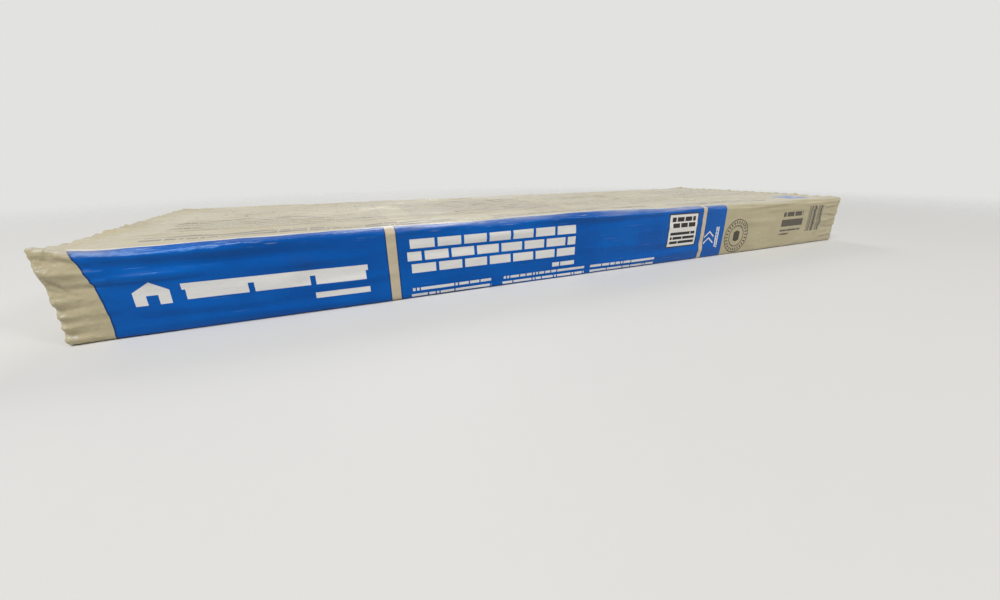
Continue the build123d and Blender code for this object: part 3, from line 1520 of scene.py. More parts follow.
class Canvas:
    """A node tree, with short calls for the nodes that the finishes use."""

    rows = 12
    cell = (220, 240)
    mix_inputs = (0, 6, 7)
    mix_result = 2
    noise_middle = 0.5

    def __init__(self, tree: bpy.types.NodeTree) -> None:
        """Keep the tree that the nodes go into."""
        self.tree = tree

    @classmethod
    def material(cls, name: str) -> tuple["Canvas", bpy.types.Material, bpy.types.Node]:
        """Start a material with an empty tree, a Principled shader and its output.

        Args:
            name: Name of the material.

        Returns:
            The canvas, the material and its shader node.
        """
        material = bpy.data.materials.new(name)
        material.use_nodes = True
        material.node_tree.nodes.clear()
        canvas = cls(material.node_tree)
        shader = canvas.node("ShaderNodeBsdfPrincipled")
        canvas.node("ShaderNodeOutputMaterial", {"Surface": shader.outputs["BSDF"]})
        return canvas, material, shader

    def node(self, kind: str, inputs: dict[str, object] | None = None, **settings: object) -> bpy.types.Node:
        """Add a node and place it in the next free cell.

        Args:
            kind: Type name of the node.
            inputs: What goes into its named sockets.
            settings: Its other settings.

        Returns:
            The node.
        """
        node = self.tree.nodes.new(kind)
        count = len(self.tree.nodes) - 1
        node.location = (self.cell[0] * (count // self.rows), -self.cell[1] * (count % self.rows))
        for name, value in settings.items():
            setattr(node, name, value)
        for name, value in (inputs or {}).items():
            self.feed(node.inputs[name], value)
        return node

    def feed(self, socket: Socket, value: object) -> None:
        """Set a socket to a plain value, or link a channel or another socket to it.

        Args:
            socket: The input socket.
            value: What goes in.
        """
        if isinstance(value, Channel):
            value = value.source
        if isinstance(value, Socket):
            self.tree.links.new(value, socket)
        else:
            socket.default_value = value

    def math(self, operation: str, *terms: Term) -> Channel:
        """Add a Math node.

        Args:
            operation: The operation's name.
            terms: Channels or numbers in order.

        Returns:
            Its result.
        """
        node = self.node("ShaderNodeMath", operation=operation)
        for socket, term in zip(node.inputs, terms):
            self.feed(socket, term)
        return Channel(self, node.outputs[0])

    def vector(self, x: Term, y: Term, z: Term = 0.0) -> Socket:
        """Join three numbers."""
        return self.node("ShaderNodeCombineXYZ", {"X": x, "Y": y, "Z": z}).outputs[0]

    def noise(self, place: Socket, scale: Term, detail: float = 2.0) -> Channel:
        """Add a Noise node."""
        inputs = {"Vector": place, "Scale": scale, "Detail": detail}
        return Channel(self, self.node("ShaderNodeTexNoise", inputs).outputs[0])

    def hollows(self, place: Socket, scale: Term, detail: float = 2.0) -> Channel:
        """Noise measured from its middle, which leaves sharp hollows as of crumpled film."""
        return (self.noise(place, scale, detail) - self.noise_middle).size()

    def blend(self, mask: Term, below: object, above: object) -> Socket:
        """Lay one colour over another.

        Args:
            mask: Where the upper colour is.
            below: Lower colour, as a value or a socket.
            above: Upper colour.

        Returns:
            The joined colour's socket.
        """
        node = self.node("ShaderNodeMix", data_type="RGBA")
        for index, value in zip(self.mix_inputs, (mask, below, above)):
            self.feed(node.inputs[index], value)
        return node.outputs[self.mix_result]

    def bump(self, height: Channel, distance: float, strength: float) -> Socket:
        """Turn a height into a normal."""
        inputs = {"Height": height, "Distance": distance, "Strength": strength}
        return self.node("ShaderNodeBump", inputs).outputs["Normal"]


class Effect:
    """A shader node group that is built once and placed wherever a finish needs it."""

    name = ""
    defaults: dict[str, float] = {}
    result = "Mask"

    def __init__(self) -> None:
        """Make the group's sockets and draw its nodes."""
        self.tree = bpy.data.node_groups.new(self.name, "ShaderNodeTree")
        for label, value in self.defaults.items():
            socket = self.tree.interface.new_socket(name=label, in_out="INPUT", socket_type="NodeSocketFloat")
            socket.default_value = value
        self.tree.interface.new_socket(name=self.result, in_out="OUTPUT", socket_type="NodeSocketFloat")
        canvas = Canvas(self.tree)
        start = canvas.node("NodeGroupInput")
        end = canvas.node("NodeGroupOutput")
        terms = {label: Channel(canvas, start.outputs[label]) for label in self.defaults}
        canvas.feed(end.inputs[self.result], self.draw(canvas, terms))

    def draw(self, canvas: Canvas, terms: dict[str, Channel]) -> Channel:
        """Draw the nodes between the group's inputs and its result."""
        raise NotImplementedError

    def place(self, canvas: Canvas, values: dict[str, Term]) -> Channel:
        """Put the group into a tree, with values for its named inputs, and give its result there."""
        node = canvas.node("ShaderNodeGroup", values, node_tree=self.tree)
        return Channel(canvas, node.outputs[self.result])


class Mottle(Effect):
    """Soft uneven patches, with finer ones on them."""

    name = "mottle"
    defaults = {"Scale": 12.0, "Grain": 90.0}
    result = "Value"
    wide_detail = 3.0
    wide_share = 0.65

    def draw(self, canvas: Canvas, terms: dict[str, Channel]) -> Channel:
        """Join wide and fine noise round one half.

        Args:
            canvas: The group's canvas.
            terms: Its inputs by name.

        Returns:
            The group's result.
        """
        place = canvas.node("ShaderNodeTexCoord").outputs["Object"]
        wide = canvas.noise(place, terms["Scale"], self.wide_detail)
        fine = canvas.noise(place, terms["Grain"])
        return wide * self.wide_share + fine * (1 - self.wide_share)


class Speckle(Effect):
    """Small separate specks."""

    name = "speckle"
    defaults = {"Scale": 400.0, "Share": 0.2, "Size": 0.25}

    def draw(self, canvas: Canvas, terms: dict[str, Channel]) -> Channel:
        """Keep a share of a cell pattern's points.

        Args:
            canvas: The group's canvas.
            terms: Its inputs by name.

        Returns:
            The group's result.
        """
        place = canvas.node("ShaderNodeTexCoord").outputs["Object"]
        cells = canvas.node("ShaderNodeTexVoronoi", {"Vector": place, "Scale": terms["Scale"]})
        split = canvas.node("ShaderNodeSeparateColor", {"Color": cells.outputs["Color"]})
        chosen = Channel(canvas, split.outputs[0]).below(terms["Share"])
        dots = Channel(canvas, cells.outputs["Distance"]).below(terms["Size"])
        return chosen * dots


class Dust(Effect):
    """Dust that has settled on what faces up."""

    name = "dust"
    defaults = {"Scale": 9.0, "Amount": 0.4}
    upward_limits = (0.2, 1.0)
    patch_limits = (0.38, 0.68)
    patch_detail = 4.0

    def draw(self, canvas: Canvas, terms: dict[str, Channel]) -> Channel:
        """Multiply the upward share of the normal by uneven patches.

        Args:
            canvas: The group's canvas.
            terms: Its inputs by name.

        Returns:
            The group's result.
        """
        geometry = canvas.node("ShaderNodeNewGeometry")
        parts = canvas.node("ShaderNodeSeparateXYZ", {"Vector": geometry.outputs["Normal"]})
        upward = Channel(canvas, parts.outputs["Z"]).ramp(*self.upward_limits)
        place = canvas.node("ShaderNodeTexCoord").outputs["Object"]
        patches = canvas.noise(place, terms["Scale"], self.patch_detail).ramp(*self.patch_limits)
        return upward * patches * terms["Amount"]


class TextBlock(Effect):
    """Rows of plain bars of uneven length that stand for small print, with no letters in them."""

    name = "print rows"
    defaults = {
        "Along": 0.0,
        "Across": 0.0,
        "Middle along": 0.0,
        "Half along": 10.0,
        "Middle across": 0.0,
        "Half across": 5.0,
        "Pitch": 4.0,
        "Stroke": 2.0,
        "Unit": 4.0,
        "Seed": 0.0,
    }
    joined_share = 0.76
    gap_share = 0.36

    def draw(self, canvas: Canvas, terms: dict[str, Channel]) -> Channel:
        """Cut rows into short units and join most of them to the one before.

        Args:
            canvas: The group's canvas.
            terms: Its inputs by name.

        Returns:
            The group's result.
        """
        along, across = terms["Along"], terms["Across"]
        inside = canvas.math("COMPARE", along, terms["Middle along"], terms["Half along"])
        inside *= canvas.math("COMPARE", across, terms["Middle across"], terms["Half across"])
        low = terms["Middle across"] - terms["Half across"]
        rows = (across - low) / terms["Pitch"]
        on_row = (rows.part() * terms["Pitch"]).below(terms["Stroke"])
        units = (along - terms["Middle along"] + terms["Half along"]) / terms["Unit"]
        spot = canvas.vector(units.floor(), rows.floor(), terms["Seed"])
        chance = canvas.node("ShaderNodeTexWhiteNoise", {"Vector": spot})
        joined = Channel(canvas, chance.outputs["Value"]).below(self.joined_share)
        return inside * on_row * (joined | units.part().above(self.gap_share))


# The print


@dataclass
class Sheet:
    """The flat film in its material: two coordinates, the group for rows, and the colour so far."""

    canvas: Canvas
    along: Channel
    girth: Channel
    rows: TextBlock
    colour: Socket | Colour

    def lay(self, mask: Term, colour: Socket | Colour) -> None:
        """Lay a colour on the film where the mask is."""
        self.colour = self.canvas.blend(mask, self.colour, colour)


@dataclass(frozen=True)
class Patch:
    """A printed rectangle, along the bundle and up the girth."""

    left: float
    right: float
    low: float
    high: float

    def mask(self, sheet: Sheet) -> Channel:
        """Mask of the rectangle."""
        return sheet.along.within(self.left, self.right) * sheet.girth.within(self.low, self.high)

    def middle(self) -> Pair:
        """The rectangle's middle."""
        return (self.left + self.right) / 2, (self.low + self.high) / 2

    def inset(self, border: float) -> "Patch":
        """The rectangle inside a border of that width."""
        return Patch(self.left + border, self.right - border, self.low + border, self.high - border)


@dataclass(frozen=True)
class SmallPrint:
    """A block of rows that stands for text."""

    patch: Patch
    pitch: float
    stroke: float
    unit: float
    seed: float
    upright: bool = False

    def mask(self, sheet: Sheet) -> Channel:
        """Place the block.

        Args:
            sheet: The flat film.

        Returns:
            The block's mask.
        """
        patch = self.patch
        middle_along, middle_across = patch.middle()
        values = {
            "Along": sheet.girth if self.upright else sheet.along,
            "Across": sheet.along if self.upright else sheet.girth,
            "Middle along": middle_along,
            "Half along": (patch.right - patch.left) / 2,
            "Middle across": middle_across,
            "Half across": (patch.high - patch.low) / 2,
            "Pitch": self.pitch,
            "Stroke": self.stroke,
            "Unit": self.unit,
            "Seed": self.seed,
        }
        return sheet.rows.place(sheet.canvas, values)


@dataclass(frozen=True)
class Courses:
    """Blocks in staggered courses, as strip shingles lie on a roof."""

    patch: Patch
    tabs: float
    courses: float
    gap: float

    stagger = 0.5

    def mask(self, sheet: Sheet) -> Channel:
        """Mask of the blocks.

        Args:
            sheet: The flat film.

        Returns:
            The mask.
        """
        patch = self.patch
        tab_width = (patch.right - patch.left) / self.tabs
        course_height = (patch.high - patch.low) / self.courses
        course = (sheet.girth - patch.low) / course_height
        shift = course.floor() * self.stagger
        tab = ((sheet.along - patch.left) / tab_width + shift).part() * tab_width
        block = tab.above(self.gap) * (course.part() * course_height).above(self.gap)
        return block * patch.mask(sheet)

    def lines(self, sheet: Sheet) -> Channel:
        """Mask of the lines between the blocks and round them."""
        edges = sheet.along.above(self.patch.right - self.gap) | sheet.girth.above(self.patch.high - self.gap)
        return (self.mask(sheet).invert() | edges) * self.patch.mask(sheet)


PALE_PRINT = (
    SmallPrint(Patch(177, 228, 14, 20), 7, 5.6, 5.3, 1.3),
    SmallPrint(Patch(437, 468, 15.5, 20.5), 6, 5, 4.8, 2.6),
    SmallPrint(Patch(268, 358, 1.5, 13), 6.6, 3.2, 4.2, 3.1),
    SmallPrint(Patch(372, 484, 1.5, 13), 6.6, 3.2, 4.2, 4.7),
    SmallPrint(Patch(493, 597, 1.5, 13), 6.6, 3.2, 4.2, 5.2),
)

DARK_PRINT = (
    SmallPrint(Patch(861, 911, 49, 57), 9, 7, 6.6, 6.4),
    SmallPrint(Patch(859, 913, 33.5, 45.5), 13, 11, 10.4, 7.9),
    SmallPrint(Patch(859, 911, 26, 29), 4, 2.6, 2.5, 8.3),
    SmallPrint(Patch(859, 882, 20, 22.8), 4, 2.6, 2.5, 9.6),
)

TOP_PRINT = (
    SmallPrint(Patch(52, 330, 96, 118), 11, 5.4, 5.1, 10.1),
    SmallPrint(Patch(372, 610, 96, 118), 11, 5.4, 5.1, 11.4),
    SmallPrint(Patch(650, 850, 96, 118), 11, 5.4, 5.1, 12.7),
    SmallPrint(Patch(52, 262, 142, 230), 8, 2.6, 3.4, 13.8),
    SmallPrint(Patch(292, 502, 142, 334), 8, 2.6, 3.4, 14.9),
    SmallPrint(Patch(532, 742, 142, 222), 8, 2.6, 3.4, 16.3),
    SmallPrint(Patch(772, 946, 190, 334), 8, 2.6, 3.4, 17.2),
)


@dataclass(frozen=True)
class PrintInks:
    """Colours of the film and of the inks on it."""

    film: Colour = ink(184, 173, 141)
    film_shade: Colour = ink(172, 160, 127)
    blue: Colour = ink(0, 90, 175)
    blue_deep: Colour = ink(0, 77, 157)
    stripe: Colour = ink(197, 182, 158)
    pale: Colour = ink(222, 219, 212)
    dark: Colour = ink(52, 46, 40)
    dust: Colour = ink(196, 190, 176)
    seam: Colour = ink(14, 44, 92)


@dataclass(frozen=True)
class InkCover:
    """How fully each ink hides what is under it."""

    pale: float = 0.95
    dark: float = 0.85
    top: float = 0.66
    stamp: float = 0.92
    code: float = 0.9
    stripe: float = 0.6
    line: float = 0.8


@dataclass(frozen=True)
class PrintPlan:
    """Places of the large printed areas."""

    arc_radius: float = 150.0
    arc_right: float = 29.3
    arc_level: float = 19.0
    seam_line: float = 1.1
    panel_start: float = 17.3
    blue_low: float = -10.5
    blue_high: float = 78.5
    blue_dip: Pair = (210.0, 30.0)
    blue_dip_depth: float = 6.5
    wobble_length: float = 70.0
    wobble_height: float = 5.0
    # Width of the pale band above the blue: a printed edge line, widened into a painted highlight of the lit
    # upper edge.
    pale_edge_and_painted_highlight: float = 3.2
    first_stripe: Pair = (248.0, 257.3)
    second_stripe: Pair = (680.0, 687.0)
    blue_right: float = 727.0
    gable: Triple = (60.0, 12.0, 45.0)
    gable_low: float = 26.0
    gable_slope: float = 0.62
    door_share: float = 0.33
    door_height: float = 8.0
    strip: Patch = Patch(80.0, 228.0, 27.5, 41.5)
    strip_tabs: float = 3.0
    strip_cut: Pair = (4.6, 8.6)
    courses: Courses = Courses(Patch(267.0, 468.0, 24.0, 62.0), 7.0, 3.0, 3.4)
    label: Patch = Patch(617.0, 671.5, 21.0, 67.0)
    label_border: float = 1.6
    label_courses: Courses = Courses(Patch(623.0, 666.0, 46.0, 62.0), 3.0, 2.0, 2.0)
    label_rows: SmallPrint = SmallPrint(Patch(622.0, 667.0, 26.0, 43.0), 6.0, 3.8, 3.6, 18.4)
    chevrons: Triple = (698.0, 9.5, 38.0)
    chevron_slope: float = 0.8
    chevron_half: float = 1.2
    chevron_pitch: float = 9.0
    side_rows: SmallPrint = SmallPrint(Patch(14.0, 44.0, 711.0, 718.0), 3.6, 2.4, 2.3, 19.3, upright=True)
    stamp_centre: Pair = (756.5, 27.2)
    stamp_rings: Pair = (25.2, 16.0)
    ring_line: float = 1.4
    tick_band: Pair = (18.3, 22.6)
    tick_count: float = 26.0
    tick_share: float = 0.42
    stamp_core: Pair = (6.5, 8.5)
    core_slope: float = 0.4
    bar_code: Patch = Patch(926.0, 963.0, 22.0, 63.0)
    bar_step: float = 1.15
    bar_gap_share: float = 0.42
    top_square: Patch = Patch(905.0, 957.0, 92.0, 128.0)
    top_ring: Pair = (8.6, 10.6)
    top_drawings: tuple[Courses, ...] = (
        Courses(Patch(52, 262, 246, 334), 4, 4, 1.3),
        Courses(Patch(532, 742, 238, 334), 3, 6, 1.3),
        Courses(Patch(772, 860, 144, 176), 4, 2, 1.3),
    )


@dataclass(frozen=True)
class Streaks:
    """Uneven marks on the print: their cells, where in the noise they show, and how strongly."""

    along: float
    girth: float
    limits: Pair
    cover: float
    detail: float = 2.0
    layer: float = 0.0
    lean: float = 0.0

    def mask(self, sheet: Sheet) -> Channel:
        """Mask of the marks.

        Args:
            sheet: The flat film.

        Returns:
            The mask.
        """
        first = sheet.along / self.along
        if self.lean:
            first = first + sheet.girth / self.lean
        place = sheet.canvas.vector(first, sheet.girth / self.girth, self.layer)
        return sheet.canvas.noise(place, 1.0, self.detail).ramp(*self.limits)


@dataclass(frozen=True)
class PrintWear:
    """Rubbed ink, scratches, smudges and scuffs of the print."""

    rub: Streaks = Streaks(26.0, 1.7, (0.60, 0.74), 0.42, 3.0)
    rub_line: float = 74.0
    rub_limits: Pair = (9.0, 1.0)
    scratch: Streaks = Streaks(55.0, 0.8, (0.73, 0.79), 0.16, 1.0, lean=40.0)
    smudge: Streaks = Streaks(48.0, 30.0, (0.58, 0.80), 0.16, 4.0, 4.0)
    scuff: Streaks = Streaks(5.0, 2.2, (0.66, 0.70), 0.75, 2.0, 2.0)
    scuff_line: float = 78.5
    scuff_reach: float = 1.8


@dataclass(frozen=True)
class FilmCrinkle:
    """Cells and shares of the relief that is too fine for the mesh."""

    depth: float = 0.0005
    stretch: Triple = (30.0, 290.0, 290.0)
    stretch_share: float = 0.45
    crumple: float = 95.0
    crumple_share: float = 1.6
    fine: float = 420.0
    fine_share: float = 0.10
    fleck_cells: Pair = (11.0, 2.6)
    fleck_line: float = 75.0
    fleck_limits: Pair = (10.0, 2.0)
    fleck_share: float = 1.9
    foil: float = 130.0
    foil_share: float = 3.2
    foil_reach: Pair = (40.0, 20.0)
    foil_edge: float = 4.0
    foil_tuck: float = 0.6
    foil_sleeve: float = 0.9
    detail: float = 3.0


@dataclass(frozen=True)
class PrintedFilm:
    """Opaque tan film with blue panels and generic print."""

    size: BundleSize
    inks: PrintInks = PrintInks()
    cover: InkCover = InkCover()
    plan: PrintPlan = PrintPlan()
    wear: PrintWear = PrintWear()
    crinkle: FilmCrinkle = FilmCrinkle()
    roughness: Pair = (0.13, 0.28)
    gloss: float = 0.26
    gloss_tint: Colour = (0.45, 0.70, 1.0, 1.0)
    patch_scale: float = 9.0
    patch_grain: float = 34.0
    ground_limits: Pair = (0.3, 0.72)
    blue_limits: Pair = (0.35, 0.7)
    dust_scale: float = 8.0
    dust_amount: float = 0.38
    dust_roughness: float = 0.25
    speck_scale: float = 300.0
    speck_share: float = 0.004
    speck_size: float = 0.20
    speck_cover: float = 0.4

    def build(self, mottle: Mottle, speckle: Speckle, dust: Dust, rows: TextBlock) -> bpy.types.Material:
        """Make the material.

        Args:
            mottle: Group for uneven patches.
            speckle: Group for specks.
            dust: Group for settled dust.
            rows: Group for rows of small print.

        Returns:
            The material.
        """
        canvas, material, shader = Canvas.material("printed_film")
        flat = canvas.node("ShaderNodeUVMap", uv_map="sheet")
        parts = canvas.node("ShaderNodeSeparateXYZ", {"Vector": flat.outputs["UV"]})
        along = Channel(canvas, parts.outputs["X"]) / MM + self.size.half_length
        girth = Channel(canvas, parts.outputs["Y"]) / MM
        patches = mottle.place(canvas, {"Scale": self.patch_scale, "Grain": self.patch_grain})
        ground = canvas.blend(patches.ramp(*self.ground_limits), self.inks.film_shade, self.inks.film)
        sheet = Sheet(canvas, along, girth, rows, ground)
        blue = self._panels(sheet, patches)
        self._pale_shapes(sheet)
        self._dark_shapes(sheet)
        self._wear(sheet, blue)
        settled = dust.place(canvas, {"Scale": self.dust_scale, "Amount": self.dust_amount})
        spots = {"Scale": self.speck_scale, "Share": self.speck_share, "Size": self.speck_size}
        specks = speckle.place(canvas, spots)
        sheet.lay(settled, self.inks.dust)
        sheet.lay(specks * self.speck_cover, self.inks.dark)
        canvas.feed(shader.inputs["Base Color"], sheet.colour)
        low, high = self.roughness
        rough = patches * (high - low) + low + settled * self.dust_roughness
        canvas.feed(shader.inputs["Roughness"], rough)
        canvas.feed(shader.inputs["Normal"], self._crinkle(sheet))
        shader.inputs["Specular IOR Level"].default_value = self.gloss
        shader.inputs["Specular Tint"].default_value = self.gloss_tint
        return material

    def _panels(self, sheet: Sheet, patches: Channel) -> Channel:
        """Print the blue panels with their curved left edge, the stripes between them, and a pale edge line
        above the blue that is widened into a painted highlight.

        Args:
            sheet: The flat film.
            patches: Uneven patches.

        Returns:
            Mask of the blue.
        """
        along, girth = sheet.along, sheet.girth
        plan, inks, cover = self.plan, self.inks, self.cover
        off_along = along - (plan.arc_right - plan.arc_radius)
        off_girth = girth - plan.arc_level
        radius = off_along.reach(off_girth)
        wobble = sheet.canvas.noise(sheet.canvas.vector(along / plan.wobble_length, 0.0), 1.0)
        rise = girth - wobble * plan.wobble_height + along.ramp(*plan.blue_dip) * plan.blue_dip_depth
        right_of_arc = radius.above(plan.arc_radius)
        held = rise.within(plan.blue_low, plan.blue_high)
        blue = right_of_arc * along.below(plan.blue_right) * held
        first = along.within(*plan.first_stripe)
        second = along.within(*plan.second_stripe)
        blue = blue * (first | second).invert()
        tone = sheet.canvas.blend(patches.ramp(*self.blue_limits), inks.blue_deep, inks.blue)
        sheet.lay(blue, tone)
        printed = along.within(plan.panel_start, plan.blue_right) * held
        sheet.lay(second * printed, inks.stripe)
        sheet.lay(first * printed * cover.stripe, inks.stripe)
        seams = radius.within(plan.arc_radius, plan.arc_radius + plan.seam_line)
        for low, high in (plan.first_stripe, plan.second_stripe):
            half = (high - low) / 2
            seams |= (along - (low + half)).size().within(half, half + plan.seam_line)
        sheet.lay(seams * held * cover.line, inks.seam)
        # Pale band over the blue's upper edge: a printed line, widened into a painted highlight of the lit
        # upper edge.
        pale_edge_and_painted_highlight = rise.within(plan.blue_high, plan.blue_high + plan.pale_edge_and_painted_highlight)
        pale_edge_and_painted_highlight = pale_edge_and_painted_highlight * right_of_arc * along.below(plan.blue_right)
        sheet.lay(pale_edge_and_painted_highlight * cover.line, inks.pale)
        return blue

    def _pale_shapes(self, sheet: Sheet) -> None:
        """Print the pale shapes on the blue.

        Args:
            sheet: The flat film.
        """
        along, girth = sheet.along, sheet.girth
        plan = self.plan
        centre, half, ridge = plan.gable
        off = (along - centre).size()
        gable = off.below(half) * girth.above(plan.gable_low) * (girth + off * plan.gable_slope).below(ridge)
        door = off.below(half * plan.door_share) * girth.below(plan.gable_low + plan.door_height)
        shapes = gable * door.invert()
        tab_width = (plan.strip.right - plan.strip.left) / plan.strip_tabs
        cut_width, cut_depth = plan.strip_cut
        from_cut = (((along - plan.strip.left) / tab_width + 0.5).part() - 0.5).size() * tab_width
        cut = from_cut.below(cut_width / 2) * girth.below(plan.strip.low + cut_depth)
        shapes |= cut.invert() * plan.strip.mask(sheet)
        shapes |= plan.courses.mask(sheet)
        middle, reach, top = plan.chevrons
        line, lower = plan.chevron_half, top - plan.chevron_pitch
        slope = girth + (along - middle).size() * plan.chevron_slope
        chevron = slope.within(top - line, top + line) | slope.within(lower - line, lower + line)
        shapes |= chevron * (along - middle).size().below(reach)
        shapes |= plan.side_rows.mask(sheet)
        for block in PALE_PRINT:
            shapes |= block.mask(sheet)
        sheet.lay(shapes * self.cover.pale, self.inks.pale)

    def _dark_shapes(self, sheet: Sheet) -> None:
        """Print the label's box, the ring stamp, the bars and the dark rows.

        Args:
            sheet: The flat film.
        """
        along, girth = sheet.along, sheet.girth
        plan, inks, cover = self.plan, self.inks, self.cover
        inner = plan.label.inset(plan.label_border)
        sheet.lay(plan.label.mask(sheet), inks.dark)
        sheet.lay(inner.mask(sheet), inks.pale)
        off_along = along - plan.stamp_centre[0]
        off_girth = girth - plan.stamp_centre[1]
        radius = off_along.reach(off_girth)
        angle = sheet.canvas.math("ARCTAN2", off_girth, off_along)
        ticks = (angle * (plan.tick_count / FULL_TURN)).part().below(plan.tick_share)
        stamp = ticks * radius.within(*plan.tick_band)
        for ring in plan.stamp_rings:
            stamp |= radius.within(ring - plan.ring_line, ring)
        core_half, core_top = plan.stamp_core
        core = off_along.size().below(core_half)
        core *= (off_girth.size() + off_along.size() * plan.core_slope).below(core_top)
        stamp |= core
        steps = (along / plan.bar_step).floor()
        chance = sheet.canvas.node("ShaderNodeTexWhiteNoise", {"W": steps}, noise_dimensions="1D")
        bars = Channel(sheet.canvas, chance.outputs["Value"]).above(plan.bar_gap_share)
        code = bars * plan.bar_code.mask(sheet)
        dark = stamp * cover.stamp | code * cover.code
        dark = dark | plan.label_courses.mask(sheet) | plan.label_rows.mask(sheet)
        for block in DARK_PRINT:
            dark |= block.mask(sheet) * cover.dark
        for block in TOP_PRINT:
            dark |= block.mask(sheet) * cover.top
        for drawing in plan.top_drawings:
            dark |= drawing.lines(sheet) * cover.top
        sheet.lay(dark, inks.dark)
        sheet.lay(plan.top_square.mask(sheet), inks.blue)
        middle_along, middle_girth = plan.top_square.middle()
        ring_along = along - middle_along
        ring = ring_along.reach(girth - middle_girth).within(*plan.top_ring)
        sheet.lay(ring, inks.pale)

    def _wear(self, sheet: Sheet, blue: Channel) -> None:
        """Add rubbed ink at the upper edge, thin scratches and soft smudges.

        Args:
            sheet: The flat film.
            blue: Mask of the blue.
        """
        inks, wear = self.inks, self.wear
        edge = (sheet.girth - wear.rub_line).size().ramp(*wear.rub_limits)
        sheet.lay(wear.rub.mask(sheet) * edge * blue * wear.rub.cover, inks.pale)
        sheet.lay(wear.scratch.mask(sheet) * blue * wear.scratch.cover, inks.pale)
        sheet.lay(wear.smudge.mask(sheet) * wear.smudge.cover, inks.dark)
        scuffs = wear.scuff.mask(sheet)
        at_edge = (sheet.girth - wear.scuff_line).size().below(wear.scuff_reach)
        sheet.lay(scuffs * at_edge * wear.scuff.cover, inks.dark)

    def _crinkle(self, sheet: Sheet) -> Socket:
        """Fine stretch lines and crinkles, flecks at the upper front edge and foil creases at the ends.

        Args:
            sheet: The flat film.

        Returns:
            The normal.
        """
        canvas, along, girth = sheet.canvas, sheet.along, sheet.girth
        plan, size = self.crinkle, self.size
        place = canvas.node("ShaderNodeTexCoord").outputs["Object"]
        stretched = canvas.node("ShaderNodeVectorMath", operation="MULTIPLY")
        canvas.feed(stretched.inputs[0], place)
        canvas.feed(stretched.inputs[1], plan.stretch)
        lines = canvas.noise(stretched.outputs["Vector"], 1.0, plan.detail)
        crumple = canvas.hollows(place, plan.crumple)
        fine = canvas.noise(place, plan.fine)
        fleck_along, fleck_girth = plan.fleck_cells
        fleck_place = canvas.vector(along / fleck_along, girth / fleck_girth)
        flecks = canvas.hollows(fleck_place, 1.0, plan.detail)
        at_edge = (girth - plan.fleck_line).size().ramp(*plan.fleck_limits)
        parts = canvas.node("ShaderNodeSeparateXYZ", {"Vector": place})
        lengthwise = (Channel(canvas, parts.outputs["X"]) / MM).size()
        crosswise = (Channel(canvas, parts.outputs["Y"]) / MM).size()
        outer, inner = plan.foil_reach
        end = size.half_length - plan.foil_edge
        at_end = lengthwise.above(end)
        near_end = lengthwise.ramp(size.half_length - outer, end)
        in_tuck = crosswise.ramp(size.half_width - outer, size.half_width - inner)
        foil = canvas.hollows(place, plan.foil, plan.detail)
        foil = foil * (at_end * in_tuck * plan.foil_tuck + near_end * plan.foil_sleeve)
        height = lines * plan.stretch_share + crumple * plan.crumple_share + fine * plan.fine_share
        height = height + flecks * at_edge * plan.fleck_share - foil * plan.foil_share
        return canvas.bump(height, plan.depth, 1.0)


@dataclass(frozen=True)
class GranuleFinish:
    """Mineral granules on asphalt, in blended browns and greys."""

    dark: Colour = ink(72, 64, 56)
    light: Colour = ink(122, 110, 96)
    speck: Colour = ink(168, 160, 148)
    grain: float = 650.0
    patch_scale: float = 14.0
    patch_limits: Pair = (0.36, 0.64)
    speck_share: float = 0.22
    speck_size: float = 0.42
    speck_cover: float = 0.8
    dust_scale: float = 20.0
    dust_amount: float = 0.15
    relief: float = 0.0006
    relief_strength: float = 0.9
    roughness: Pair = (0.78, 0.98)

    def build(self, mottle: Mottle, speckle: Speckle, dust: Dust) -> bpy.types.Material:
        """Make the material.

        Args:
            mottle: Group for uneven patches.
            speckle: Group for specks.
            dust: Group for settled dust.

        Returns:
            The material.
        """
        canvas, material, shader = Canvas.material("asphalt_granules")
        patches = mottle.place(canvas, {"Scale": self.patch_scale, "Grain": self.grain})
        colour = canvas.blend(patches.ramp(*self.patch_limits), self.dark, self.light)
        spots = {"Scale": self.grain, "Share": self.speck_share, "Size": self.speck_size}
        specks = speckle.place(canvas, spots)
        colour = canvas.blend(specks * self.speck_cover, colour, self.speck)
        settled = dust.place(canvas, {"Scale": self.dust_scale, "Amount": self.dust_amount})
        colour = canvas.blend(settled, colour, self.speck)
        canvas.feed(shader.inputs["Base Color"], colour)
        place = canvas.node("ShaderNodeTexCoord").outputs["Object"]
        cells = canvas.node("ShaderNodeTexVoronoi", {"Vector": place, "Scale": self.grain})
        height = 1 - Channel(canvas, cells.outputs["Distance"])
        canvas.feed(shader.inputs["Normal"], canvas.bump(height, self.relief, self.relief_strength))
        smooth, rough = self.roughness
        canvas.feed(shader.inputs["Roughness"], patches * (rough - smooth) + smooth)
        return material


@dataclass(frozen=True)
class FloorFinish:
    """Plain pale studio floor that fades into the background."""

    colour: Colour = ink(209, 208, 205)
    shade: Colour = ink(205, 204, 201)
    patch_scale: float = 1.5
    patch_grain: float = 60.0
    roughness: Pair = (0.6, 0.7)
    fade_start: float = 0.7
    fade_end: float = 2.1

    def build(self, mottle: Mottle) -> bpy.types.Material:
        """Make the material.

        Args:
            mottle: Group for uneven patches.

        Returns:
            The material.
        """
        canvas, material, shader = Canvas.material("studio_floor")
        patches = mottle.place(canvas, {"Scale": self.patch_scale, "Grain": self.patch_grain})
        canvas.feed(shader.inputs["Base Color"], canvas.blend(patches, self.shade, self.colour))
        smooth, rough = self.roughness
        canvas.feed(shader.inputs["Roughness"], patches * (rough - smooth) + smooth)
        place = canvas.node("ShaderNodeTexCoord").outputs["Object"]
        length = canvas.node("ShaderNodeVectorMath", operation="LENGTH")
        canvas.feed(length.inputs[0], place)
        solid = Channel(canvas, length.outputs["Value"]).ramp(self.fade_end, self.fade_start)
        canvas.feed(shader.inputs["Alpha"], solid)
        return material


# Studio


